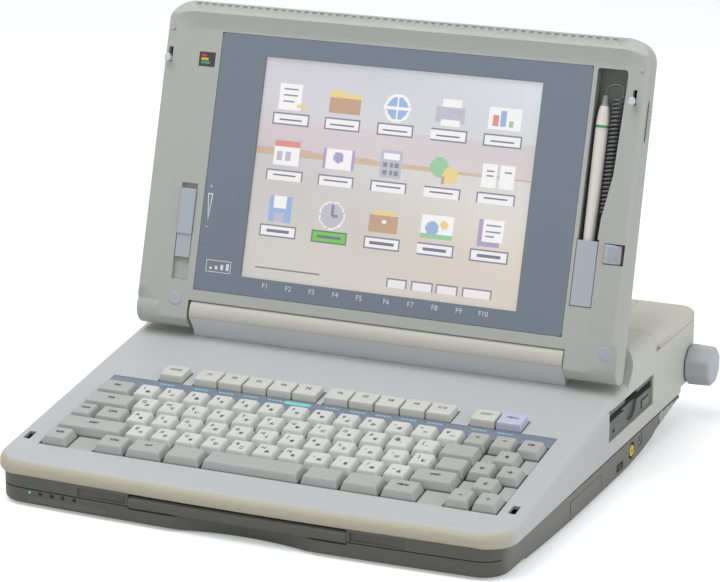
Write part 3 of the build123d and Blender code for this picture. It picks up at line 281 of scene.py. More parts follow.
def makeAgeing():
    # slow drift of colour over a shell, as old plastic yellows unevenly, and of its gloss
    tree, inn, out = newGroup("ageing", [("Color", "NodeSocketColor", (0.5, 0.5, 0.5, 1)),
                                         ("Aged", "NodeSocketColor", (0.5, 0.45, 0.35, 1)),
                                         ("Amount", "NodeSocketFloat", 0.3),
                                         ("Scale", "NodeSocketFloat", 7.0),
                                         ("Gloss", "NodeSocketFloat", 0.5)],
                              [("Color", "NodeSocketColor"), ("Roughness", "NodeSocketFloat")])
    drift = noiseNode(tree, inn["Scale"], 4.0, 0.6)
    share = mathNode(tree, "MULTIPLY", drift, inn["Amount"])
    smear = noiseNode(tree, 40.0, 5.0, 0.7)
    shift = mathNode(tree, "MULTIPLY", mathNode(tree, "SUBTRACT", smear, 0.5), 0.25)
    setInputs(tree, out, {"Color": colourMix(tree, share, inn["Color"], inn["Aged"]),
                          "Roughness": mathNode(tree, "ADD", inn["Gloss"], shift)})
    return tree


def makeYellowingAndFrontShade():
    # front-facing faces near the front edge take the front colour, part yellowing, part painted
    # shade; the warm housing at the back has yellowed
    tree, inn, out = newGroup("yellowingAndFrontShade", [("Color", "NodeSocketColor", (1, 1, 1, 1)),
                                           ("Front", "NodeSocketColor", (1, 1, 1, 1)),
                                           ("Rear", "NodeSocketColor", (1, 1, 1, 1))],
                              [("Color", "NodeSocketColor")])
    spot = addNode(tree, "TexCoord").outputs
    turned = addNode(tree, "SeparateXYZ", {"Vector": spot["Normal"]})
    placed = addNode(tree, "SeparateXYZ", {"Vector": spot["Object"]})
    facing = rampNode(tree, turned.outputs["Y"], -0.12, -0.6)
    near = rampNode(tree, placed.outputs["Y"], -0.15, -0.17)
    back = rampNode(tree, placed.outputs["Y"], 0.0, 0.07)
    shade = colourMix(tree, mathNode(tree, "MULTIPLY", facing, near), inn["Color"], inn["Front"])
    setInputs(tree, out, {"Color": colourMix(tree, back, shade, inn["Rear"])})
    return tree


def makePanelGlow():
    # the faint unevenness of a backlight behind a picture
    tree, inn, out = newGroup("panelGlow", [("Color", "NodeSocketColor", (1, 1, 1, 1)),
                                            ("Patch", "NodeSocketFloat", 26.0),
                                            ("Depth", "NodeSocketFloat", 0.05),
                                            ("Panel", "NodeSocketFloat", 0.5)],
                              [("Color", "NodeSocketColor"), ("Shade", "NodeSocketColor")])
    patch = noiseNode(tree, inn["Patch"], 2.0)
    gain = mathNode(tree, "SUBTRACT", 1.0, mathNode(tree, "MULTIPLY", patch, inn["Depth"]))
    scaled = addNode(tree, "VectorMath", {0: inn["Color"], "Scale": gain}, operation="SCALE")
    panel = addNode(tree, "VectorMath", {0: scaled.outputs["Vector"], "Scale": inn["Panel"]},
                    operation="SCALE")
    setInputs(tree, out, {"Color": scaled.outputs["Vector"], "Shade": panel.outputs["Vector"]})
    return tree


groups = {"grain": makeMouldGrain(), "wear": makeEdgeWear(), "ageing": makeAgeing(),
          "panelGlow": makePanelGlow(), "yellowingAndFrontShade": makeYellowingAndFrontShade()}


def useGroup(tree, name, values):
    node = addNode(tree, "Group", node_tree=groups[name])
    setInputs(tree, node, values)
    return node.outputs


def makePlastic(name, colour, aged=None, gloss=0.5, age=0.35, grain=2200.0, bump=0.12, wear=0.5,
                coat=0.0, metallic=0.0, front=None, rear=None):
    # a finish: drifting colour, paler rubbed edges, a fine grain, and if it has one a front colour
    # of yellowing and painted shade
    material, tree, surface = newMaterial(name, {"Metallic": metallic, "Coat Weight": coat,
                                                 "Coat Roughness": 0.15})
    aged = aged or [part * 0.93 for part in colour]
    rubbed = [min(255, part * 1.08 + 8) for part in colour]
    ageing = useGroup(tree, "ageing", {"Color": srgb(*colour), "Aged": srgb(*aged),
                                       "Amount": age, "Gloss": gloss})
    shade = ageing["Color"]
    if front:
        shade = useGroup(tree, "yellowingAndFrontShade", {"Color": shade, "Front": srgb(*front),
                                            "Rear": srgb(*rear)})["Color"]
    edges = useGroup(tree, "wear", {"Radius": 0.0008, "Amount": wear})
    relief = useGroup(tree, "grain", {"Scale": grain})
    rounding = addNode(tree, "Bevel", {"Radius": 0.0004}, samples=3)
    raised = addNode(tree, "Bump", {"Strength": bump, "Distance": 0.0001,
                                    "Height": relief["Height"],
                                    "Normal": rounding.outputs["Normal"]})
    setInputs(tree, surface, {"Base Color": colourMix(tree, edges["Mask"], shade, srgb(*rubbed)),
                              "Roughness": ageing["Roughness"],
                              "Normal": raised.outputs["Normal"]})
    return material


# front: the colour of front-facing faces near the front edge, part yellowing and part painted
# shade; rear: the warmer back
plastics = {
    "caseGrey": dict(colour=(187, 189, 191), aged=(182, 182, 178),
                            front=(176, 171, 150), rear=(196, 196, 187)),
    "coverBeige": dict(colour=(202, 201, 190), aged=(190, 184, 165)),
    "lidGrey": dict(colour=(175, 177, 172), aged=(168, 168, 158)),
    "tubDark": dict(colour=(114, 114, 108), aged=(104, 104, 96), wear=0.35,
                           front=(84, 84, 76), rear=(114, 114, 108)),
    "barrelBeige": dict(colour=(196, 194, 184), aged=(186, 182, 168)),
    "maskBlue": dict(colour=(117, 126, 137), gloss=0.42, bump=0.04, wear=0.1),
    "keyWhite": dict(colour=(210, 211, 207), aged=(204, 202, 192), gloss=0.45),
    "keyCream": dict(colour=(206, 206, 199), aged=(200, 198, 186), gloss=0.45),
    "keyGrey": dict(colour=(174, 175, 173), aged=(168, 167, 160), gloss=0.45),
    "keyLavender": dict(colour=(194, 195, 216), gloss=0.45),
    "charcoal": dict(colour=(58, 58, 58), gloss=0.5, wear=0.3),
    "softBlack": dict(colour=(34, 34, 34), gloss=0.75, grain=1200.0, wear=0.1),
    "steel": dict(colour=(178, 180, 182), gloss=0.35, metallic=1.0, grain=900.0),
    "boardGreen": dict(colour=(40, 92, 58), gloss=0.4, grain=700.0),
    "champagne": dict(colour=(224, 218, 211), gloss=0.32, bump=0.03, coat=0.2),
    "knobGrey": dict(colour=(180, 184, 188), gloss=0.42),
    "brass": dict(colour=(205, 180, 90), gloss=0.25, metallic=1.0),
    "stripBlue": dict(colour=(118, 128, 142), gloss=0.5, bump=0.05),
    "lampGreen": dict(colour=(120, 200, 130), gloss=0.2, coat=0.6),
    "capBlue": dict(colour=(174, 179, 186), gloss=0.4),
    "cordBlack": dict(colour=(96, 96, 97), gloss=0.28, grain=3000.0, bump=0.05),
    "legendInk": dict(colour=(84, 86, 96), gloss=0.5, bump=0.02, wear=0.0),
    "printWhite": dict(colour=(226, 230, 232), gloss=0.5, bump=0.02, wear=0.0),
    "markCyan": dict(colour=(138, 196, 214), gloss=0.5, bump=0.02, wear=0.0),
    "recessShadeGrey": dict(colour=(140, 142, 138), gloss=0.55, wear=0.2),
    "jackYellow": dict(colour=(214, 200, 60), gloss=0.35),
    "ringGreen": dict(colour=(58, 150, 96), gloss=0.3, bump=0.02),
    "penBoot": dict(colour=(150, 152, 150), gloss=0.55, wear=0.2),
    "barrelGreyPaintedLight": dict(colour=(206, 208, 210), aged=(200, 200, 194)),
    "hookPale": dict(colour=(206, 210, 216), gloss=0.35),
    "pillCyan": dict(colour=(120, 214, 214), gloss=0.4, bump=0.02, wear=0.0),
    "bezelGrey": dict(colour=(98, 100, 97), gloss=0.45, wear=0.3),
    "glossDark": dict(colour=(66, 68, 68), gloss=0.22, bump=0.04, coat=0.3),
    "labelDark": dict(colour=(92, 92, 86), gloss=0.4, bump=0.03, wear=0.1),
    "badgeDark": dict(colour=(58, 56, 60), gloss=0.25, bump=0.02, wear=0.1),
    "badgeRed": dict(colour=(196, 66, 56), gloss=0.3, bump=0.02, wear=0.0),
    "badgeGold": dict(colour=(222, 178, 60), gloss=0.3, bump=0.02, wear=0.0),
    "badgeGreen": dict(colour=(72, 150, 110), gloss=0.3, bump=0.02, wear=0.0),
    "screen": dict(colour=(222, 218, 214), gloss=0.4, coat=0.3),
}
finishes = {name: makePlastic(name, **values) for name, values in plastics.items()}
slotFinish = {"case_grey": "caseGrey", "lid_grey": "lidGrey", "tub_dark": "tubDark",
              "beige": "coverBeige", "mask_blue": "maskBlue", "key_white": "keyWhite",
              "key_grey": "keyGrey", "dark_plastic": "charcoal", "glass": "screen",
              "panel": "screen", "steel": "steel", "rubber": "softBlack",
              "board": "boardGreen", "champagne": "champagne", "knob_grey": "knobGrey",
              "brass_part": "brass", "lamp_green": "lampGreen", "strip_blue": "stripBlue"}
nodeSlot = {part["node"]: part["material_slot"] for part in frame["record"]["subparts"]}
for nodeName, nodeObject in nodes.items():
    nodeObject.data.materials.clear()
    nodeObject.data.materials.append(finishes[slotFinish[nodeSlot[nodeName]]])
print("stage: finishes,", len(finishes))

# --- tools for pieces


def applied(mesh, modifiers, name="making"):
    # a mesh with some modifiers applied, each given as kind and values
    maker = linked(name, mesh)
    for kind, values in modifiers:
        modifier = maker.modifiers.new(kind, kind)
        for label, value in values.items():
            setattr(modifier, label, value)
    bpy.context.view_layer.update()
    graph = bpy.context.evaluated_depsgraph_get()
    result = bpy.data.meshes.new_from_object(maker.evaluated_get(graph), depsgraph=graph)
    bpy.data.objects.remove(maker)
    return result


weightedNormals = ("WEIGHTED_NORMAL", {"keep_sharp": True, "weight": 90})


def softEdges(width, segments=2):
    return [("BEVEL", {"width": width, "segments": segments, "limit_method": "ANGLE",
                       "angle_limit": math.radians(32), "use_clamp_overlap": False,
                       "miter_outer": "MITER_ARC"}), weightedNormals]


def wholeMesh(nodeName):
    # a CAD node's mesh with its flat facets joined into whole faces
    shape = bmesh.new()
    shape.from_mesh(nodes[nodeName].data)
    bmesh.ops.remove_doubles(shape, verts=shape.verts, dist=0.00001)
    bmesh.ops.dissolve_limit(shape, angle_limit=math.radians(0.6), verts=shape.verts,
                             edges=shape.edges)
    mesh = meshOf(shape, nodeName + "Whole", False)
    for label in ("custom_normal", "sharp_edge", "sharp_face"):
        if label in mesh.attributes:
            mesh.attributes.remove(mesh.attributes[label])
    mesh.materials.clear()
    tidyMesh(mesh)
    return mesh


def mergedMesh(nodeName):
    # a CAD node's mesh with its corners shared, so that its shading runs smooth
    shape = bmesh.new()
    shape.from_mesh(nodes[nodeName].data)
    bmesh.ops.remove_doubles(shape, verts=shape.verts, dist=0.00001)
    mesh = meshOf(shape, nodeName + "Merged", False)
    for label in ("custom_normal", "sharp_edge", "sharp_face"):
        if label in mesh.attributes:
            mesh.attributes.remove(mesh.attributes[label])
    mesh.set_sharp_from_angle(angle=math.radians(32))
    return mesh


def bodyOf(nodeName):
    return nodes[nodeName]["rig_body"]


def dressed(name, nodeName, finishNames, width=0.3, paint=None, cutter=None):
    # a node's shape, its edges softened where it is simple, its faces painted by place
    if width:
        mesh = applied(wholeMesh(nodeName), softEdges(width * mm))
    else:
        steps = [weightedNormals]
        if cutter:
            steps.insert(0, ("BOOLEAN", {"operation": "DIFFERENCE", "object": cutter,
                                         "solver": "EXACT"}))
        mesh = applied(mergedMesh(nodeName), steps)
    mesh.materials.clear()
    for finishName in finishNames:
        mesh.materials.append(finishes[finishName])
    indices = [0] * len(mesh.polygons)
    if paint:
        indices = [paint(face) for face in mesh.polygons]
    mesh.polygons.foreach_set("material_index", indices)
    tidyMesh(mesh)
    return place(name, mesh, None, bodyOf(nodeName), (nodeName,))


def makeRowTree():
    # an even row of blocks, for ribs, slots and slats
    tree = bpy.data.node_groups.new("evenRow", "GeometryNodeTree")
    labels = [("Count", "NodeSocketInt"), ("Start", "NodeSocketVector"),
              ("Step", "NodeSocketVector"), ("Size", "NodeSocketVector"),
              ("Finish", "NodeSocketMaterial")]
    sockets = {label: tree.interface.new_socket(label, in_out="INPUT", socket_type=kind)
               for label, kind in labels}
    tree.interface.new_socket("Geometry", in_out="OUTPUT", socket_type="NodeSocketGeometry")
    inn = tree.nodes.new("NodeGroupInput")
    out = tree.nodes.new("NodeGroupOutput")
    line = tree.nodes.new("GeometryNodeMeshLine")
    cube = tree.nodes.new("GeometryNodeMeshCube")
    spread = tree.nodes.new("GeometryNodeInstanceOnPoints")
    real = tree.nodes.new("GeometryNodeRealizeInstances")
    finish = tree.nodes.new("GeometryNodeSetMaterial")
    tree.links.new(inn.outputs["Count"], line.inputs["Count"])
    tree.links.new(inn.outputs["Start"], line.inputs["Start Location"])
    tree.links.new(inn.outputs["Step"], line.inputs["Offset"])
    tree.links.new(inn.outputs["Size"], cube.inputs["Size"])
    tree.links.new(line.outputs["Mesh"], spread.inputs["Points"])
    tree.links.new(cube.outputs["Mesh"], spread.inputs["Instance"])
    tree.links.new(spread.outputs["Instances"], real.inputs["Geometry"])
    tree.links.new(real.outputs["Geometry"], finish.inputs["Geometry"])
    tree.links.new(inn.outputs["Finish"], finish.inputs["Material"])
    tree.links.new(finish.outputs["Geometry"], out.inputs["Geometry"])
    return tree, {label: item.identifier for label, item in sockets.items()}


rowTree, rowSockets = makeRowTree()


def evenRow(name, row, frameMatrix, finishName, soft=0.0):
    # the row's mesh in metres, with its blocks' edges softened
    maker = linked(name, bpy.data.meshes.new(name))
    modifier = maker.modifiers.new("evenRow", "NODES")
    modifier.node_group = rowTree
    modifier[rowSockets["Count"]] = row["count"]
    modifier[rowSockets["Start"]] = row["start"]
    modifier[rowSockets["Step"]] = row["step"]
    modifier[rowSockets["Size"]] = row["size"]
    modifier[rowSockets["Finish"]] = finishes[finishName]
    if soft:
        edge = maker.modifiers.new("soft", "BEVEL")
        edge.width = soft
        edge.segments = 2
    bpy.context.view_layer.update()
    graph = bpy.context.evaluated_depsgraph_get()
    mesh = bpy.data.meshes.new_from_object(maker.evaluated_get(graph), depsgraph=graph)
    bpy.data.objects.remove(maker)
    mesh.transform(frameMatrix)
    tidyMesh(mesh, smooth=bool(soft))
    return mesh


def joined(name, meshes):
    whole = bmesh.new()
    for mesh in meshes:
        whole.from_mesh(mesh)
    result = bpy.data.meshes.new(name)
    whole.to_mesh(result)
    whole.free()
    return result


def lettering(words, frameMatrix, thick=0.05, resolution=3):
    # thin raised print: each word is its text, x, y, height above the frame and size
    meshes = []
    for text, x, y, level, height in words:
        data = bpy.data.curves.new("word", "FONT")
        data.body = text
        data.size = height
        data.align_x = "CENTER"
        data.align_y = "CENTER"
        data.extrude = thick / 2
        data.resolution_u = resolution
        word = linked("word", data)
        bpy.context.view_layer.update()
        graph = bpy.context.evaluated_depsgraph_get()
        mesh = bpy.data.meshes.new_from_object(word.evaluated_get(graph), depsgraph=graph)
        bpy.data.objects.remove(word)
        mesh.transform(frameMatrix @ Matrix.Translation((x, y, level)))
        mesh.materials.clear()
        meshes.append(mesh)
    return meshes


def plates(outlines, frameMatrix, level, thick=0.05):
    # thin flat plates from outlines in a frame's x and y
    shape = bmesh.new()
    for outline in outlines:
        low = [shape.verts.new(frameMatrix @ Vector((x, y, level - thick / 2)))
               for x, y in outline]
        high = [shape.verts.new(frameMatrix @ Vector((x, y, level + thick / 2)))
                for x, y in outline]
        shape.faces.new(high)
        shape.faces.new(list(reversed(low)))
        for index in range(len(outline)):
            after = (index + 1) % len(outline)
            shape.faces.new((low[index], low[after], high[after], high[index]))
    mesh = meshOf(shape, "plates", False)
    return mesh


def bar(x0, y0, x1, y1):
    return [(x0, y0), (x1, y0), (x1, y1), (x0, y1)]


def frameBars(x0, y0, x1, y1, width):
    # the four sides of a thin printed frame
    return [bar(x0, y0, x1, y0 + width), bar(x0, y1 - width, x1, y1),
            bar(x0, y0 + width, x0 + width, y1 - width),
            bar(x1 - width, y0 + width, x1, y1 - width)]


def roundRing(middle, half, radius, level, steps=4):
    # points round a rectangle with rounded corners
    ring = []
    radius = min(radius, half[0] * 0.98, half[1] * 0.98)
    for turn, (sx, sy) in enumerate(((1, 1), (-1, 1), (-1, -1), (1, -1))):
        for step in range(steps + 1):
            angle = math.radians(90 * turn + 90 * step / steps)
            ring.append((middle[0] + sx * (half[0] - radius) + radius * math.cos(angle),
                         middle[1] + sy * (half[1] - radius) + radius * math.sin(angle), level))
    return ring


def stackRings(shape, rings, frameMatrix):
    # a closed form through a stack of rings with equal counts
    loops = [[shape.verts.new(frameMatrix @ Vector(point)) for point in ring] for ring in rings]
    for low, high in zip(loops, loops[1:]):
        for index in range(len(low)):
            after = (index + 1) % len(low)
            shape.faces.new((low[index], low[after], high[after], high[index]))
    shape.faces.new(list(reversed(loops[0])))
    shape.faces.new(loops[-1])


# --- the pen's curly cord
cordRoute = [(153.2, 183, 5.4), (153.2, 187.0, 5.4), (156.0, 190.6, 5.6), (160.8, 190.8, 5.8),
             (162.9, 188.0, 6.2), (162.9, 184.0, 6.2), (162.7, 153.0, 5.6), (162.3, 126.0, 4.6),
             (161.8, 98.0, 3.2), (162.6, 92.0, 2.4), (166.2, 89.2, 1.6), (166.2, 83.0, 1.6)]
coil = {"top": 185.0, "bottom": 97.0, "radius": 3.25, "wire": 1.9, "turns": 28,
        "perTurn": 16, "ease": 8.0}


def splineCurve(name, points, depth=0.0):
    data = bpy.data.curves.new(name, "CURVE")
    data.dimensions = "3D"
    data.bevel_depth = depth
    data.bevel_resolution = 3
    data.use_fill_caps = True
    spline = data.splines.new("NURBS")
    spline.points.add(len(points) - 1)
    for point, spot in zip(spline.points, points):
        point.co = (*spot, 1.0)
    spline.order_u = 3
    spline.use_endpoint_u = True
    spline.resolution_u = 8 if depth == 0 else 3
    piece = linked(name, data)
    return piece


def readLine(piece):
    # the points along a curve, in order
    bpy.context.view_layer.update()
    graph = bpy.context.evaluated_depsgraph_get()
    mesh = bpy.data.meshes.new_from_object(piece.evaluated_get(graph), depsgraph=graph)
    return [vertex.co.copy() for vertex in mesh.vertices]


def eased(part):
    part = min(max(part, 0.0), 1.0)
    return part * part * (3 - 2 * part)


def halfCoil(steep, values):
    # from the lead to the coil's middle: how far along and how far round each point is
    stride = 2 * math.pi * values["radius"] / values["perTurn"]
    steps = [(0.0, 0.0)]
    while steps[-1][1] < math.pi * values["turns"]:
        lean = steep * eased(len(steps) * stride / values["ease"])
        steps.append((steps[-1][0] + stride * math.cos(lean),
                      steps[-1][1] + stride * math.sin(lean) / values["radius"]))
    return steps


def coilSteps(length, values):
    # the turns' slope is found so that they fill the coil's length
    low, high = 0.8, 1.57
    for _ in range(40):
        steep = (low + high) / 2
        steps = halfCoil(steep, values)
        if steps[-1][0] > length / 2:
            low = steep
        else:
            high = steep
    along = length / 2 / steps[-1][0]
    turning = math.pi * values["turns"] / steps[-1][1]
    steps = [(run * along, angle * turning) for run, angle in steps]
    whole = 2 * math.pi * values["turns"]
    return steps + [(length - run, whole - angle) for run, angle in reversed(steps[:-1])]


def makeCord():
    route = splineCurve("cordRoute", [lidFrame @ Vector(point) for point in cordRoute])
    line = readLine(route)
    bpy.data.objects.remove(route)
    back = lidFrame.inverted()
    local = [back @ spot for spot in line]
    first = [i for i, spot in enumerate(local) if spot[1] >= coil["top"]][-1]
    last = [i for i, spot in enumerate(local) if spot[1] >= coil["bottom"]][-1]
    lengths = [0.0]
    for before, here in zip(local[first:last], local[first + 1:last + 1]):
        lengths.append(lengths[-1] + (here - before).length)
    rim = Vector((coil["radius"], 0, 0))
    points = [spot + rim * eased(i / first) for i, spot in enumerate(local[:first])]
    for run, turned in coilSteps(lengths[-1], coil):
        index = max(i for i, value in enumerate(lengths) if value <= run + 1e-9)
        index = min(index, len(lengths) - 2)
        part = (run - lengths[index]) / (lengths[index + 1] - lengths[index])
        before = local[first + index]
        after = local[first + index + 1]
        along = (after - before).normalized()
        side = Vector((0, 0, 1)).cross(along).normalized()
        out = along.cross(side)
        turn = math.cos(turned) * side + math.sin(turned) * out
        points.append(before.lerp(after, part) + coil["radius"] * turn)
    tail = local[last + 1:]
    points += [spot + rim * eased(1 - (i + 1) / len(tail)) for i, spot in enumerate(tail)]
    world = [lidFrame @ spot for spot in points]
    cord = splineCurve("curlyCord", world, coil["wire"] / 2 * mm)
    cord.data.materials.append(finishes["cordBlack"])
    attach(cord, "lid")
    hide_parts("stylus_cord")
    return cord


makeCord()
print("stage: curly cord")

# --- keys
pitch = 19.0
keyboard = {"rowZero": 118.35, "columnZero": -126.3, "leftEdge": -164.3, "rightEdge": 168.2,
            "blockRight": 130.2, "gap": 0.8, "foot": -2.2, "top": 5.0, "taper": 2.6,
            "edge": 1.1, "functionTaper": 0.6, "functionEdge": 0.5,
            "stem": (2.5, -5.0), "functionMiddle": 151.6, "functionDepth": 17.4,
            "functionStarts": ((-130.4, 1), (-103.5, 5), (-3.5, 5), (104.5, 2)),
            "offsets": (0, 0.5, 0.75, 1.25), "counts": (13, 12, 12, 11)}
bottomRow = ((1.1, "left"), (1.02, ""), (1.25, "left"), (1.5, "left"), (1.5, "left"),
             (3.8, "space"), (1.5, "right"), (1.5, "right"), (1.375, "right"), (0.95, ""),
             (1.0, "arrow"), (1.0, "arrow"))


def rowBand(row):
    high = keyboard["rowZero"] + (0.5 - row) * pitch
    return high - pitch, high


def rowCells(row):
    # left and right edges of the white keys of a row
    start = keyboard["columnZero"] - pitch / 2 + keyboard["offsets"][row] * pitch
    return [(start + pitch * i, start + pitch * (i + 1)) for i in range(keyboard["counts"][row])]


def bottomCells(kind):
    cells = []
    left = keyboard["leftEdge"]
    for units, label in bottomRow:
        right = left + units * pitch
        if label == kind:
            cells.append((left, min(right, keyboard["rightEdge"])))
        left = right
    return cells


def functionCells(group):
    start, count = keyboard["functionStarts"][group]
    return [(start + pitch * i, start + pitch * (i + 1)) for i in range(count)]


def keyboardCells():
    # every key of each group as left, right, low and high
    cells = {}
    names = ("keys_digit_row", "keys_upper_row", "keys_home_row", "keys_lower_row")
    for row, name in enumerate(names):
        cells[name] = [(*edges, *rowBand(row)) for edges in rowCells(row)]
    low, high = rowBand(4)
    cells["keys_bottom_row"] = [(*edges, low, high)
                                for edges in bottomCells("left") + bottomCells("right")]
    cells["space_bar"] = [(*edges, low, high) for edges in bottomCells("space")]
    left = keyboard["leftEdge"]
    starts = [rowCells(row)[0][0] for row in range(4)]
    ends = [rowCells(row)[-1][1] for row in range(4)]
    split = left + pitch
    edge = [(left, starts[0], *rowBand(0)), (left, starts[1], *rowBand(1)),
            (left, split, *rowBand(2)), (split, starts[2], *rowBand(2)),
            (left, starts[3], *rowBand(3))]
    edge += [(ends[0] + pitch * i, ends[0] + pitch * (i + 1), *rowBand(0)) for i in range(3)]
    edge += [(ends[row], keyboard["blockRight"], *rowBand(row)) for row in (1, 2, 3)]
    cells["edge_keys"] = edge
    middle = keyboard["rightEdge"] - pitch
    half = pitch / 2
    arrows = [(middle - half, middle + half, *rowBand(1)), (middle - pitch, middle, *rowBand(2)),
              (middle, middle + pitch, *rowBand(2)), (middle - half, middle + half, *rowBand(3))]
    cells["arrow_keys"] = arrows + [(*edges, low, high) for edges in bottomCells("arrow")]
    low = keyboard["functionMiddle"] - keyboard["functionDepth"] / 2
    high = low + keyboard["functionDepth"]
    cells["function_keys"] = [(*edges, low, high)
                              for group in range(4) for edges in functionCells(group)]
    return cells


def addKeycap(shape, cell, dip, taper, edge):
    left, right, low, high = cell
    gap = keyboard["gap"] / 2
    middle = ((left + right) / 2, (low + high) / 2)
    foot = ((right - left) / 2 - gap, (high - low) / 2 - gap)
    head = (foot[0] - taper, foot[1] - taper * 0.5 - 0.7)
    headMiddle = (middle[0], middle[1] + 0.6)
    top = keyboard["top"]
    drop = keyboard["foot"]
    rings = [roundRing(middle, (foot[0] - 1.2, foot[1] - 1.2), 0.6, drop + 0.5),
             roundRing(middle, (foot[0] - 0.9, foot[1] - 0.9), 0.8, drop),
             roundRing(middle, foot, 1.0, drop)]
    for share, radius in ((0.35, edge), (0.7, edge), (0.93, edge)):
        half = [a + (b - a) * share for a, b in zip(foot, head)]
        centre = [a + (b - a) * share for a, b in zip(middle, headMiddle)]
        rings.append(roundRing(centre, half, radius, drop + (top - drop) * share))
    for inset, fall, radius in ((0.06, 0.22, edge), (0.28, 0.03, edge), (0.6, 0.02, edge),
                                (2.0, 0.45 * dip, 1.2), (3.7, 0.8 * dip, 1.2)):
        half = (head[0] - inset, head[1] - inset)
        rings.append(roundRing(headMiddle, half, radius, top - fall))
    half = (max(head[0] - 5.6, 0.8), max(head[1] - 5.6, 0.8))
    rings.append(roundRing(headMiddle, half, 1.0, top - dip))
    stackRings(shape, rings, deckFrame)
    side, bottom = keyboard["stem"]
    stem = [roundRing(middle, (side, side), 0.5, bottom),
            roundRing(middle, (side, side), 0.5, drop + 0.6)]
    stackRings(shape, stem, deckFrame)


keyFinish = {"keys_digit_row": "keyWhite", "keys_upper_row": "keyWhite",
             "keys_home_row": "keyWhite", "keys_lower_row": "keyWhite",
             "keys_bottom_row": "keyGrey", "space_bar": "keyGrey", "edge_keys": "keyGrey",
             "function_keys": "keyCream", "arrow_keys": "keyGrey"}
keyLegends = {"keys_digit_row": ("1234567890-^¥", "ぬふあうえおやゆよわほへー"),
              "keys_upper_row": ("QWERTYUIOP@[", "たていすかんなにらせ゛゜"),
              "keys_home_row": ("ASDFGHJKL;:]", "ちとしはきくまのりれけむ"),
              "keys_lower_row": ("ZXCVBNM,./_", "つさそひこみもねるめろ")}
arrowWords = ("↑", "←", "→", "↓", "−", "+")
edgeWords = ("ESC", "TAB", "CAPS", "CTRL", "SHIFT", "⇤", "⇥", "DEL", "", "", "SHIFT")
functionWords = ("MODE", *("F%d" % number for number in range(1, 11)), "COPY", "MENU")
bottomWords = ("END", "CTRL", "ALT", "", "", "", "MENU")


def makeKeys():
    for nodeName, cells in keyboardCells().items():
        shape = bmesh.new()
        flat = nodeName == "function_keys"
        dip = {"space_bar": -0.12, "function_keys": 0.05}.get(nodeName, 0.6)
        taper = keyboard["functionTaper" if flat else "taper"]
        edge = keyboard["functionEdge" if flat else "edge"]
        for cell in cells:
            addKeycap(shape, cell, dip, taper, edge)
        mesh = meshOf(shape, nodeName + "Caps", False)
        mesh.materials.append(finishes[keyFinish[nodeName]])
        if nodeName == "function_keys":
            mesh.materials.append(finishes["keyLavender"])
            last = deckFrame @ Vector((keyboard["functionStarts"][3][0] + pitch, 0, 0))
            for face in mesh.polygons:
                face.material_index = int(face.center[0] > last[0])
        tidyMesh(mesh)
        body = bodyOf(nodeName)
        place(nodeName + "Caps", mesh, None, body, (nodeName,))
        words = keyWords(nodeName, cells)
        if words:
            ink = joined(nodeName + "Legends", lettering(words, deckFrame, 0.3))
            place(nodeName + "Legends", ink, finishes["legendInk"], body)


def keyWords(nodeName, cells):
    # the letters on each key of a group: text, x, y, level and size
    level = keyboard["top"] - 0.36
    words = []
    for index, (left, right, low, high) in enumerate(cells):
        x = (left + right) / 2
        y = (low + high) / 2 + 0.5
        if nodeName in keyLegends:
            latin, kana = keyLegends[nodeName]
            words.append((latin[index], x - 2.7, y + 2.7, level, 4.4))
            words.append((kana[index], x + 1.9, y - 1.9, level, 3.8))
        elif nodeName == "function_keys":
            size = 4.4 if functionWords[index][0] == "F" else 3.2
            words.append((functionWords[index], x, y + 1.2, keyboard["top"] - 0.02, size))
        elif nodeName == "arrow_keys":
            words.append((arrowWords[index], x, y, level, 5.0))
        elif nodeName == "edge_keys" and edgeWords[index]:
            words.append((edgeWords[index], x, y + 2.0, level, 2.9))
        elif nodeName == "keys_bottom_row" and bottomWords[index]:
            words.append((bottomWords[index], x, y + 2.0, level, 2.9))
    return words


makeKeys()
print("stage: keys")

# --- the lid's shells and fittings
vents = {"count": 53, "start": (-160.3, 220.9, 11.5), "step": (6.1, 0, 0), "size": (3.0, 1.5, 2.4)}


def ventCutter():
    mesh = evenRow("ventRow", vents, lidFrame, "charcoal")
    cutter = linked("ventCutter", mesh)
    return cutter


# painted shade: faces inside the pen bay and the screen's well take a darker grey of the same lid
# plastic
def paintLidFront(face):
    spot = lidFrame.inverted() @ face.center
    bay = 146.5 < spot[0] < 170.5 and 84 < spot[1] < 201.6 and spot[2] < 10.7
    well = -138.7 < spot[0] < 144.2 and 15.3 < spot[1] < 202.2 and spot[2] < 10.6
    return 1 if bay or well else 0


# the barrel's lower front is grey and its top beige, yellowed where exposed; the grey is painted
# lighter, as painted light on this downward-facing front
def paintBarrel(face):
    spot = caseFrame.inverted() @ face.center
    return 1 if spot[2] < 78.6 and spot[1] < 218 else 0


def paintSockets(face):
    spot = caseFrame.inverted() @ face.center
    if spot[1] > 250:
        return 1 if spot[0] < 185.6 else 2
    return 0 if math.hypot(spot[1] - 241.3, spot[2] - 13.2) < 4.2 else 1


def paintLatch(face):
    spot = lidFrame.inverted() @ face.center
    return 1 if spot[0] < -180.5 or spot[0] > 182.5 else 0


def paintPen(face):
    spot = lidFrame.inverted() @ face.center
    if spot[1] > 175.8:
        return 2
    if 160.7 < spot[1] < 162.4:
        return 1
    return 0


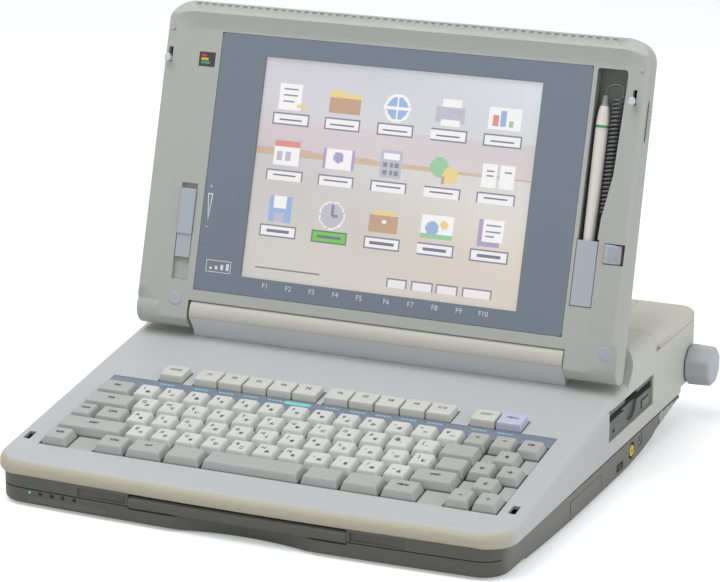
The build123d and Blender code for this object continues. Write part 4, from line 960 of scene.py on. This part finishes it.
cutter = ventCutter()
lidShell = dressed("lidFrontShell", "lid_front", ["lidGrey", "recessShadeGrey"], 0, paintLidFront, cutter)
bpy.data.objects.remove(cutter)
shells = [("lidBackShell", "lid_back", ["lidGrey"], 0, None),
          ("screenMask", "screen_mask", ["maskBlue"], 0.3, None),
          ("upperCase", "upper_case", ["caseGrey"], 0, None),
          ("lowerCase", "lower_case", ["tubDark"], 0, None),
          ("paperFlap", "paper_flap", ["coverBeige"], 0.4, None),
          ("hingeFairing", "hinge_cover", ["barrelBeige", "barrelGreyPaintedLight"], 0.4, paintBarrel),
          ("carryHandle", "carry_handle", ["tubDark"], 0.3, None),
          ("brightnessCap", "brightness_slider", ["capBlue"], 0.5, None),
          ("powerCap", "power_slide", ["capBlue"], 0.6, None),
          ("penHolder", "pen_holder", ["capBlue"], 0.4, None),
          ("leftLatch", "latch_left", ["hookPale", "lidGrey"], 0.5, paintLatch),
          ("rightLatch", "latch_right", ["hookPale", "lidGrey"], 0.5, paintLatch),
          ("sideDoor", "side_door", ["tubDark"], 0.25, None),
          ("ejectButton", "eject_button", ["glossDark"], 0.3, None),
          ("driveBezel", "disk_bezel", ["bezelGrey"], 0.3, None),
          ("sideSockets", "side_sockets", ["jackYellow", "softBlack", "keyGrey"], 0.2,
           paintSockets),
          ("blankFillers", "key_fillers", ["keyGrey"], 0.3, None),
          ("volumeWheel", "volume_dial", ["charcoal"], 0.3, None),
          ("stopPads", "lid_pads", ["capBlue"], 0.3, None)]
for name, nodeName, finishNames, width, paint in shells:
    dressed(name, nodeName, finishNames, width, paint)


notch = {"y": 295.5, "z": 71.3, "radius": 4.2, "sides": 32, "ends": (184.5, 189.5)}


def makeCover():
    # the printer's cover with a small finger notch in its right edge
    shape = bmesh.new()
    angles = [2 * math.pi * i / notch["sides"] for i in range(notch["sides"])]
    rings = [[(x, notch["y"] + notch["radius"] * math.cos(angle),
               notch["z"] + notch["radius"] * math.sin(angle)) for angle in angles]
             for x in notch["ends"]]
    stackRings(shape, rings, caseFrame)
    mesh = meshOf(shape, "notch")
    cutter = linked("notch", mesh)
    dressed("printerCover", "printer_cover", ["coverBeige"], 0, None, cutter)
    bpy.data.objects.remove(cutter)


knob = {"y": 368.5, "z": 39.5, "sides": 8, "flat": 13.9, "corner": 14.95, "perSide": 8}


def knobRing(x, scale):
    count = knob["sides"] * knob["perSide"]
    ring = []
    for i in range(count):
        turn = 2 * math.pi * i / count
        step = 2 * math.pi / knob["sides"]
        off = (turn + step / 2) % step - step / 2
        radius = min(knob["flat"] / math.cos(off), knob["corner"]) * scale
        ring.append((x, knob["y"] + radius * math.sin(turn), knob["z"] + radius * math.cos(turn)))
    return ring


def makeKnob():
    # the feed knob: a collar, a body with broad flats and a softly rounded face
    shape = bmesh.new()
    profile = [(187.9, 0.955), (188.4, 0.985), (189.4, 1.0), (203.4, 0.97),
               (204.6, 0.955), (205.5, 0.92), (206.1, 0.87), (206.4, 0.8),
               (206.5, 0.7), (206.3, 0.4), (206.25, 0.08)]
    stackRings(shape, [knobRing(x, scale) for x, scale in profile], caseFrame)
    mesh = meshOf(shape, "knob")
    mesh.materials.append(finishes["knobGrey"])
    tidyMesh(mesh)
    place("knobShell", mesh, None, bodyOf("feed_knob"), ("feed_knob",))


makeCover()
makeKnob()
print("stage: shells")

# the caps over the hinge bolts, set flush in the face and in the ear's curved end
boltCap = {"radius": 4.6, "cover": 4.75, "level": 7.8, "rings": 8, "sides": 40, "proud": 0.1,
           "sunk": 0.25, "left": -151.7, "right": 177.1}
ear = {"face": 11.0, "flatEnd": 164.0, "dish": 0.2586, "round": 12.5, "foot": 5.15,
       "footHeight": 11.39, "rise": 0.4641, "flatCap": 11.22, "rim": 15.3, "skin": 0.04,
       "start": 164.2, "end": 185.4, "sections": 30, "steps": 24, "deep": 0.8}


def earHeight(x, level):
    # the ear's surface: the hinge's round, then the rise to the rim, under the dish's side
    if x < ear["flatEnd"]:
        return ear["flatCap"]
    rise = ear["footHeight"] + ear["rise"] * (level - ear["foot"])
    if level < ear["foot"]:
        rise = math.sqrt(ear["round"] ** 2 - level ** 2)
    return min(rise, ear["face"] + ear["dish"] * (x - ear["flatEnd"]))


def earSpan(x):
    # where a straight line leaves the round, and where and how high it meets the face
    height = min(ear["face"] + ear["dish"] * (x - ear["flatEnd"]), ear["rim"])
    level = ear["foot"] + (height - ear["footHeight"]) / ear["rise"]
    if height < ear["round"]:
        return -math.sqrt(ear["round"] ** 2 - height ** 2), height, level, height
    reach = math.hypot(level, height)
    turn = math.atan2(level, height) - math.acos(ear["round"] / reach)
    return ear["round"] * math.sin(turn), ear["round"] * math.cos(turn), level, height


def fairHeight(x, level):
    # the smooth face of the right ear, straight from its round up to the dish
    if x < ear["flatEnd"]:
        return ear["flatCap"]
    low, lowHeight, high, highHeight = earSpan(x)
    if not low < level < high:
        return earHeight(x, level)
    return lowHeight + (highHeight - lowHeight) * (level - low) / (high - low)


def makeEarFace():
    # fills the hollow between the ear's round and the dish's side
    shape = bmesh.new()
    rings = []
    for index in range(ear["sections"] + 1):
        x = ear["start"] + (ear["end"] - ear["start"]) * index / ear["sections"]
        low, _, high, _ = earSpan(x)
        levels = [low + (high - low) * i / ear["steps"] for i in range(ear["steps"] + 1)]
        top = [(x, level, fairHeight(x, level) + ear["skin"]) for level in levels]
        under = [(x, level, earHeight(x, level) - ear["deep"]) for level in reversed(levels)]
        rings.append(top + under)
    stackRings(shape, rings, lidFrame)
    mesh = meshOf(shape, "earFace")
    mesh.set_sharp_from_angle(angle=math.radians(40))
    tidyMesh(mesh)
    place("earFace", mesh, finishes["lidGrey"], "lid")


def sinkCap(piece, middle):
    # lowers the shell's own cap, so that the curved one lies flush over it
    back = lidFrame.inverted()
    for vertex in piece.data.vertices:
        x, level, height = back @ vertex.co
        surface = earHeight(x, level)
        near = math.hypot(x - middle, level - boltCap["level"]) < boltCap["radius"] + 0.05
        if near and height > surface + boltCap["proud"]:
            vertex.co = lidFrame @ Vector((x, level, surface - boltCap["sunk"]))


def addBoltCap(shape, middle):
    rings = []
    radii = [boltCap["cover"] * i / boltCap["rings"] for i in range(boltCap["rings"], 0, -1)]
    for index, radius in enumerate([boltCap["cover"], *radii, 0.05]):
        lift = -boltCap["sunk"] if index == 0 else boltCap["proud"]
        ring = []
        for i in range(boltCap["sides"]):
            angle = 2 * math.pi * i / boltCap["sides"]
            x = middle + radius * math.cos(angle)
            level = boltCap["level"] + radius * math.sin(angle)
            ring.append((x, level, fairHeight(x, level) + lift))
        rings.append(ring)
    stackRings(shape, rings, lidFrame)


def makeBoltCaps():
    sinkCap(lidShell, boltCap["right"])
    shape = bmesh.new()
    for middle in (boltCap["left"], boltCap["right"]):
        addBoltCap(shape, middle)
    mesh = meshOf(shape, "boltCaps")
    tidyMesh(mesh)
    place("boltCaps", mesh, finishes["capBlue"], "lid")


makeEarFace()
makeBoltCaps()

latchRibs = {"count": 8, "step": (0, 3.0, 0), "size": (0.3, 1.4, 5.8)}
for side, edge, body in ((-1, -182.8, "left_latch"), (1, 186.8, "right_latch")):
    row = dict(latchRibs, start=(edge, 157.0, 7.0))
    mesh = evenRow("gripRibs", row, lidFrame, "lidGrey", 0.1)
    place("leftGripRibs" if side < 0 else "rightGripRibs", mesh, None, body)

powerRibs = {"count": 5, "start": (171.3, 75.5, 13.5), "step": (1.6, 0, 0),
             "size": (0.7, 10.0, 0.5)}
place("powerRibs", evenRow("powerRibs", powerRibs, lidFrame, "capBlue", 0.15), None, "power")


# heights up the lid with radii, from the point to the shoulder, then the boot's ribs
pen = {"x": 153.2, "z": 5.4, "sides": 40, "end": (183.0, 1.2), "profile": (
    (43, 0.3), (43.4, 0.9), (46, 1.6), (50, 2.9), (52, 3.9), (53, 4.0), (84, 4.0), (110, 4.3),
    (140, 4.6), (158, 4.75), (160.6, 4.76), (160.9, 4.92), (162.2, 4.92), (162.5, 4.7),
    (166, 4.6), (169, 4.4), (172, 4.0), (174.6, 3.4), (175.6, 3.1))}
bootRibs = {"count": 4, "low": 175.8, "pitch": 1.8, "radius": 2.75, "taper": 0.27,
            "groove": 0.35, "rise": 0.3, "land": 1.1, "end": 1.4}


def makePen():
    # the pen as one turned form: point, holder, barrel, ring, shoulder and ribbed boot
    profile = list(pen["profile"])
    for rib in range(bootRibs["count"]):
        low = bootRibs["low"] + rib * bootRibs["pitch"]
        radius = bootRibs["radius"] - bootRibs["taper"] * rib
        groove = radius - bootRibs["groove"]
        profile += [(low, groove), (low + bootRibs["rise"], radius),
                    (low + bootRibs["land"], radius), (low + bootRibs["end"], groove)]
    profile.append(pen["end"])
    shape = bmesh.new()
    angles = [2 * math.pi * i / pen["sides"] for i in range(pen["sides"])]
    rings = [[(pen["x"] + radius * math.sin(angle), v, pen["z"] + radius * math.cos(angle))
              for angle in angles] for v, radius in profile]
    stackRings(shape, rings, lidFrame)
    mesh = meshOf(shape, "pen")
    for finishName in ("champagne", "ringGreen", "penBoot"):
        mesh.materials.append(finishes[finishName])
    for face in mesh.polygons:
        face.material_index = paintPen(face)
    tidyMesh(mesh)
    place("penShell", mesh, None, "pen", ("stylus",))


makePen()
print("stage: lid fittings")

# --- the screen's picture and the print on the lid
screen = {"left": -102.4, "low": 29.0, "width": 211.2, "height": 158.4, "top": 9.0,
          "deep": 1.1, "cell": 1.1}
iconPaints = {"paper": (250, 250, 252), "ink": (96, 100, 120), "blue": (120, 160, 215),
              "red": (214, 110, 100), "green": (120, 190, 130), "gold": (232, 200, 110),
              "brown": (176, 130, 96), "grey": (172, 172, 190), "violet": (150, 130, 180)}
# each picture as blocks of left, low, right and high, and discs of x, y and radius
icons = [
    [(-11, -9, 7, 10, "paper"), (-8, 5, 4, 6, "ink"), (-8, 1, 4, 2, "ink"), (-8, -3, 1, -2, "ink"),
     (3, -7, 12, -4, "gold")],
    [(-12, -8, 12, 6, "gold"), (-12, 6, -2, 9, "gold"), (-12, -8, 12, 3, "brown")],
    [(0, 0, 10, "paper"), (0, 0, 8, "blue"), (-1, -8, 1, 8, "paper"), (-8, -1, 8, 1, "paper")],
    [(-11, -7, 11, 4, "grey"), (-7, 4, 7, 10, "paper"), (-7, -9, 7, -4, "paper"),
     (6, 0, 9, 2, "green")],
    [(-12, -8, 12, 8, "paper"), (-9, -6, -5, 2, "red"), (-3, -6, 1, 5, "blue"),
     (3, -6, 7, -1, "green")],
    [(-10, -9, 10, 9, "paper"), (-10, 5, 10, 9, "red"), (-7, -5, -3, 1, "grey"),
     (-1, -5, 3, 1, "grey")],
    [(-12, -7, 12, 7, "paper"), (-12, -7, -10, 7, "violet"), (10, -7, 12, 7, "violet"),
     (0, 1, 4, "violet")],
    [(-8, -10, 8, 10, "grey"), (-6, 4, 6, 8, "paper"), (-6, -7, -3, -4, "ink"),
     (-1, -7, 2, -4, "ink"), (3, -7, 6, -4, "ink"), (-6, -2, -3, 1, "ink"), (-1, -2, 2, 1, "ink"),
     (3, -2, 6, 1, "ink")],
    [(-4, 2, 7, "green"), (5, -3, 6, "gold"), (-1, -10, 1, -4, "brown")],
    [(-12, -8, -1, 8, "paper"), (1, -8, 12, 8, "paper"), (-9, 3, -3, 4, "ink"),
     (-9, -1, -3, 0, "ink"), (4, 3, 10, 4, "ink")],
    [(-9, -9, 9, 9, "blue"), (-5, 1, 5, 9, "paper"), (-4, -9, 4, -3, "grey")],
    [(0, 0, 10, "paper"), (0, 0, 9, "grey"), (-1, 0, 1, 7, "ink"), (0, -1, 5, 1, "ink")],
    [(-11, -8, 11, 4, "brown"), (-8, 4, 8, 7, "gold"), (-2, -2, 2, 1, "paper")],
    [(-12, -8, 12, 8, "paper"), (-4, -1, 5, "blue"), (5, 2, 3, "gold"),
     (-12, -8, 12, -5, "green")],
    [(-10, -9, 6, 9, "violet"), (-7, -6, 9, 10, "paper"), (-4, 5, 6, 6, "ink"),
     (-4, 1, 6, 2, "ink"), (-4, -3, 2, -2, "ink")],
]


def paintRect(canvas, x, y, box, colour):
    # fills one block of the picture's cells
    x0, y0, x1, y1 = box
    for row in range(len(y)):
        if y0 <= y[row] <= y1:
            for column in range(len(x)):
                if x0 <= x[column] <= x1:
                    canvas[row][column] = colour


def paintDisc(canvas, x, y, spot, radius, colour):
    for row in range(len(y)):
        if abs(y[row] - spot[1]) <= radius:
            for column in range(len(x)):
                if math.hypot(x[column] - spot[0], y[row] - spot[1]) <= radius:
                    canvas[row][column] = colour


def blendPaint(first, second, share):
    return tuple(a + (b - a) * share for a, b in zip(first, second))


menu = {"low": ((206, 202, 198), (224, 214, 202)), "high": ((208, 205, 212), (220, 224, 228)),
        "fadeFrom": 0.25, "fadeOver": 0.6, "wave": 3, "waveUp": 9, "waveAcross": 5,
        "bandLow": 0.56, "bandTop": 0.6, "bandFall": 0.03, "hazeTop": 0.72,
        "band": (206, 172, 146), "bandShare": 0.75, "haze": (214, 196, 200), "hazeShare": 0.5}
tiles = {"across": 5, "first": (24, 131), "pitch": (40.5, 40), "chosen": 11, "pale": 0.3,
         "paleTo": (244, 236, 232), "label": (-13, -19, 13, -12.5), "mark": (-9, -16.6, 9, -15.2),
         "markInk": (120, 122, 136), "plainEdge": (134, 134, 148), "plain": (244, 242, 244),
         "chosenEdge": (110, 130, 110), "chosenFill": (120, 200, 96)}
footBar = {"keys": ((112, 16), (131, 16), (150, 16), (169, 22)), "low": 5, "top": 12,
           "edge": (140, 136, 146), "fill": (240, 236, 236), "line": (10, 8, 60, 9.2),
           "ink": (138, 132, 138)}


def paintGround(up, share):
    # one cell's colour, from its share of the picture's height and width
    low = blendPaint(*menu["low"], share)
    high = blendPaint(*menu["high"], share)
    tone = blendPaint(low, high, min(1, max(0, (up - menu["fadeFrom"]) / menu["fadeOver"])))
    edge = menu["bandTop"] - menu["bandFall"] * share
    if menu["bandLow"] < up < edge:
        tone = blendPaint(tone, menu["band"], menu["bandShare"])
    elif edge <= up < menu["hazeTop"]:
        tone = blendPaint(tone, menu["haze"], menu["hazeShare"])
    wave = menu["wave"] * math.sin(menu["waveUp"] * up + menu["waveAcross"] * share)
    return tuple(value + wave for value in tone)


def shifted(box, x, y, grow=0):
    return (x + box[0] - grow, y + box[1] - grow, x + box[2] + grow, y + box[3] + grow)


def paintScreen(x, y):
    # a pale menu: a drifting ground, a grid of plain pictures with blank labels, and a foot bar
    canvas = [[paintGround(height / screen["height"], across / screen["width"]) for across in x]
              for height in y]
    for index, icon in enumerate(icons):
        cx = tiles["first"][0] + index % tiles["across"] * tiles["pitch"][0]
        cy = tiles["first"][1] - index // tiles["across"] * tiles["pitch"][1]
        for part in icon:
            pale = blendPaint(iconPaints[part[-1]], tiles["paleTo"], tiles["pale"])
            if len(part) == 5:
                paintRect(canvas, x, y, shifted(part, cx, cy), pale)
            else:
                paintDisc(canvas, x, y, (cx + part[0], cy + part[1]), part[2], pale)
        kind = ("chosenEdge", "chosenFill") if index == tiles["chosen"] else ("plainEdge", "plain")
        paintRect(canvas, x, y, shifted(tiles["label"], cx, cy, 1), tiles[kind[0]])
        paintRect(canvas, x, y, shifted(tiles["label"], cx, cy), tiles[kind[1]])
        paintRect(canvas, x, y, shifted(tiles["mark"], cx, cy), tiles["markInk"])
    for left, width in footBar["keys"]:
        key = (left, footBar["low"], left + width, footBar["top"])
        paintRect(canvas, x, y, key, footBar["edge"])
        paintRect(canvas, x, y, shifted(key, 0, 0, -1), footBar["fill"])
    paintRect(canvas, x, y, footBar["line"], footBar["ink"])
    return canvas


def makeScreen():
    columns = round(screen["width"] / screen["cell"])
    rows = round(screen["height"] / screen["cell"])
    x = [screen["width"] * (i + 0.5) / columns for i in range(columns)]
    y = [screen["height"] * (i + 0.5) / rows for i in range(rows)]
    canvas = paintScreen(x, y)
    shape = bmesh.new()
    layer = shape.loops.layers.color.new("picture")
    level = screen["top"]
    grid = [[shape.verts.new(lidFrame @ Vector((screen["left"] + screen["width"] * i / columns,
                                                screen["low"] + screen["height"] * j / rows,
                                                level))) for i in range(columns + 1)]
            for j in range(rows + 1)]
    for j in range(rows):
        for i in range(columns):
            face = shape.faces.new((grid[j][i], grid[j][i + 1], grid[j + 1][i + 1],
                                    grid[j + 1][i]))
            colour = [min(max(value, 0), 255) / 255 for value in canvas[j][i]]
            for loop in face.loops:
                loop[layer] = (*colour, 1.0)
    border = (grid[0] + [row[-1] for row in grid[1:]] + grid[-1][-2::-1]
              + [row[0] for row in grid[-2:0:-1]])
    down = lidFrame.to_3x3() @ Vector((0, 0, -screen["deep"]))
    under = [shape.verts.new(vertex.co + down) for vertex in border]
    for index in range(len(border)):
        after = (index + 1) % len(border)
        shape.faces.new((border[index], under[index], under[after], border[after]))
    shape.faces.new(list(reversed(under)))
    mesh = meshOf(shape, "litScreen")
    mesh.materials.append(litScreenMaterial())
    tidyMesh(mesh, smooth=False)
    place("litScreen", mesh, None, "lid", ("touch_glass",))


def litScreenMaterial():
    # a lit panel: its picture glows a little under a satin film
    material, tree, surface = newMaterial("litScreen", {
        "Emission Strength": 0.52, "Roughness": 0.34, "Coat Weight": 0.25, "Coat Roughness": 0.12})
    picture = addNode(tree, "VertexColor", layer_name="picture")
    glow = useGroup(tree, "panelGlow", {"Color": picture.outputs["Color"], "Patch": 26.0,
                                        "Depth": 0.05})
    setInputs(tree, surface, {"Base Color": glow["Shade"], "Emission Color": glow["Color"]})
    return material


maskPrint = [("F1", -82.1), ("F2", -63.9), ("F3", -45.5), ("F4", -27.2), ("F5", -8.8),
             ("F6", 12.2), ("F7", 30.5), ("F8", 48.8), ("F9", 67.0), ("F10", 85.3)]


printed = {"level": 11.03, "keyLow": 24.2, "keySize": 5.2, "signSize": 5.0,
           "more": (-133.5, 90.6), "less": (-133.4, 61.4),
           "wedge": [(-135.4, 85.8), (-131.2, 85.8), (-133.2, 65.4)],
           "inside": [(-134.5, 84.9), (-132.1, 84.9), (-133.25, 70.5)], "insideLift": 0.03,
           "frame": (-130.4, 29.6, -110.6, 38.4), "line": 0.5}
badge = {"ground": (-155.2, 176.2, -142.4, 186.6), "level": 11.06, "thick": 0.12,
         "left": -153.4, "right": -149.2, "longer": 1.6, "high": 1.9, "barLevel": 11.15,
         "barThick": 0.08,
         "bars": (("badgeRed", 183.2), ("badgeGold", 180.6), ("badgeGreen", 178.0))}


def makePrint():
    level = printed["level"]
    words = [(text, x, printed["keyLow"], level, printed["keySize"]) for text, x in maskPrint]
    words += [(sign, *printed[spot], level, printed["signSize"])
              for sign, spot in (("+", "more"), ("−", "less"))]
    meshes = lettering(words, lidFrame)
    meshes.append(plates([printed["wedge"]], lidFrame, level))
    inside = plates([printed["inside"]], lidFrame, level + printed["insideLift"])
    motif = frameBars(*printed["frame"], printed["line"])
    motif += [bar(-127.6 + 4.4 * i, 31.6, -125.4 + 4.4 * i, 33.2 + 1.1 * i) for i in range(4)]
    meshes.append(plates(motif, lidFrame, level))
    place("maskPrint", joined("maskPrint", meshes), finishes["printWhite"], "lid")
    place("scaleInside", inside, finishes["maskBlue"], "lid")
    ground = plates([bar(*badge["ground"])], lidFrame, badge["level"], badge["thick"])
    place("badgeGround", ground, finishes["badgeDark"], "lid")
    for index, (name, low) in enumerate(badge["bars"]):
        outline = bar(badge["left"], low, badge["right"] + badge["longer"] * index,
                      low + badge["high"])
        strip = plates([outline], lidFrame, badge["barLevel"], badge["barThick"])
        place(name, strip, finishes[name], "lid")
    place("stripMarks", plates(stripMarks(), deckFrame, stripLevel), finishes["markCyan"],
          "base")
    place("stripPill", plates([ovalOutline(*pillSpot)], deckFrame, stripLevel),
          finishes["pillCyan"], "base")


stripLevel = -0.17
pillSpot = (-20.2, 138.6, 10.2, 2.2)


def ovalOutline(x, y, halfWide, halfHigh):
    # a level bar with round ends
    outline = []
    for i in range(24):
        angle = 2 * math.pi * (i + 0.5) / 24
        end = halfWide - halfHigh if math.cos(angle) > 0 else halfHigh - halfWide
        outline.append((x + end + halfHigh * math.cos(angle), y + halfHigh * math.sin(angle)))
    return outline


def stripMarks():
    # small plain marks above the digit keys and below the function keys
    marks = []
    for left, right in rowCells(0):
        middle = (left + right) / 2 + 2.0
        marks += [bar(middle - 3.2, 130.6, middle - 0.4, 132.0),
                  bar(middle + 0.3, 130.6, middle + 3.0, 132.0)]
    for cell in keyboardCells()["function_keys"]:
        middle = (cell[0] + cell[1]) / 2
        if abs(middle - pillSpot[0]) > 14:
            marks += [bar(middle - 5.6 + 2.9 * i, 138.2, middle - 3.4 + 2.9 * i, 140.0)
                      for i in range(4)]
    return marks


makeScreen()
makePrint()
print("stage: screen and print")

# --- the tub's lamps, label, vents and other small fittings
lampSpots = (-155.6, -147.0, -138.2, -129.6, -120.6)


def tubFront(x):
    # y of the tub's front face
    return 0.3 + 4.2 * (x / 181.0) ** 2


def makeLamps():
    shape = bmesh.new()
    for x in lampSpots:
        rings = []
        front = tubFront(x)
        for depth, radius in ((5.4, 1.3), (0.5, 1.3), (0.1, 1.15), (-0.1, 0.8), (-0.15, 0.3)):
            rings.append([(x + radius * math.sin(2 * math.pi * i / 16), front + depth,
                           10.4 + radius * math.cos(2 * math.pi * i / 16)) for i in range(16)])
        stackRings(shape, rings, caseFrame)
    rings = [roundRing((204.95, 38.8), (1.7, 0.9), 0.5, level) for level in (184.3, 185.7, 186.0)]
    turned = [[(level, y, z) for y, z, level in ring] for ring in rings]
    stackRings(shape, turned, caseFrame)
    mesh = meshOf(shape, "statusLamps")
    mesh.materials.append(finishes["lampGreen"])
    mesh.materials.append(finishes["softBlack"])
    lit = (caseFrame @ Vector((-151, 0, 0)))[0]
    for face in mesh.polygons:
        face.material_index = int(face.center[0] > lit)
    tidyMesh(mesh)
    place("statusLamps", mesh, None, "base", ("status_lamps",))


def makeLabelPlate():
    # a bare label set on the curved front under the lamps
    shape = bmesh.new()
    rings = []
    steps = 12
    for step in range(steps + 1):
        x = -157 + 61 * step / steps
        front = tubFront(x)
        rings.append([(x, front - 0.12, 3.9), (x, front - 0.12, 8.3), (x, front + 0.4, 8.3),
                      (x, front + 0.4, 3.9)])
    stackRings(shape, rings, caseFrame)
    mesh = meshOf(shape, "labelPlate")
    place("labelPlate", mesh, finishes["labelDark"], "base")


ventSlats = {"slope": 0.17, "front": 300.0, "thick": 1.0, "inner": 186.5, "outer": 187.35,
             "rows": ((13.55, 302.0, 332.0), (15.6, 301.0, 331.0), (17.6, 301.0, 320.5),
                      (19.6, 301.0, 309.0))}


def makeVentSlats():
    # pale slats on the tub's right wall, parallel to its rising tail
    shape = bmesh.new()
    for low, start, end in ventSlats["rows"]:
        rings = []
        for y in (start, end):
            z = low + ventSlats["slope"] * (y - ventSlats["front"])
            half = ventSlats["thick"] / 2
            rings.append([(ventSlats["inner"], y, z - half), (ventSlats["outer"], y, z - half),
                          (ventSlats["outer"], y, z + half), (ventSlats["inner"], y, z + half)])
        stackRings(shape, rings, caseFrame)
    mesh = meshOf(shape, "ventSlats")
    tidyMesh(mesh, False)
    place("ventSlats", mesh, finishes["keyWhite"], "base")


makeLamps()
makeLabelPlate()
makeVentSlats()
print("stage: base fittings")
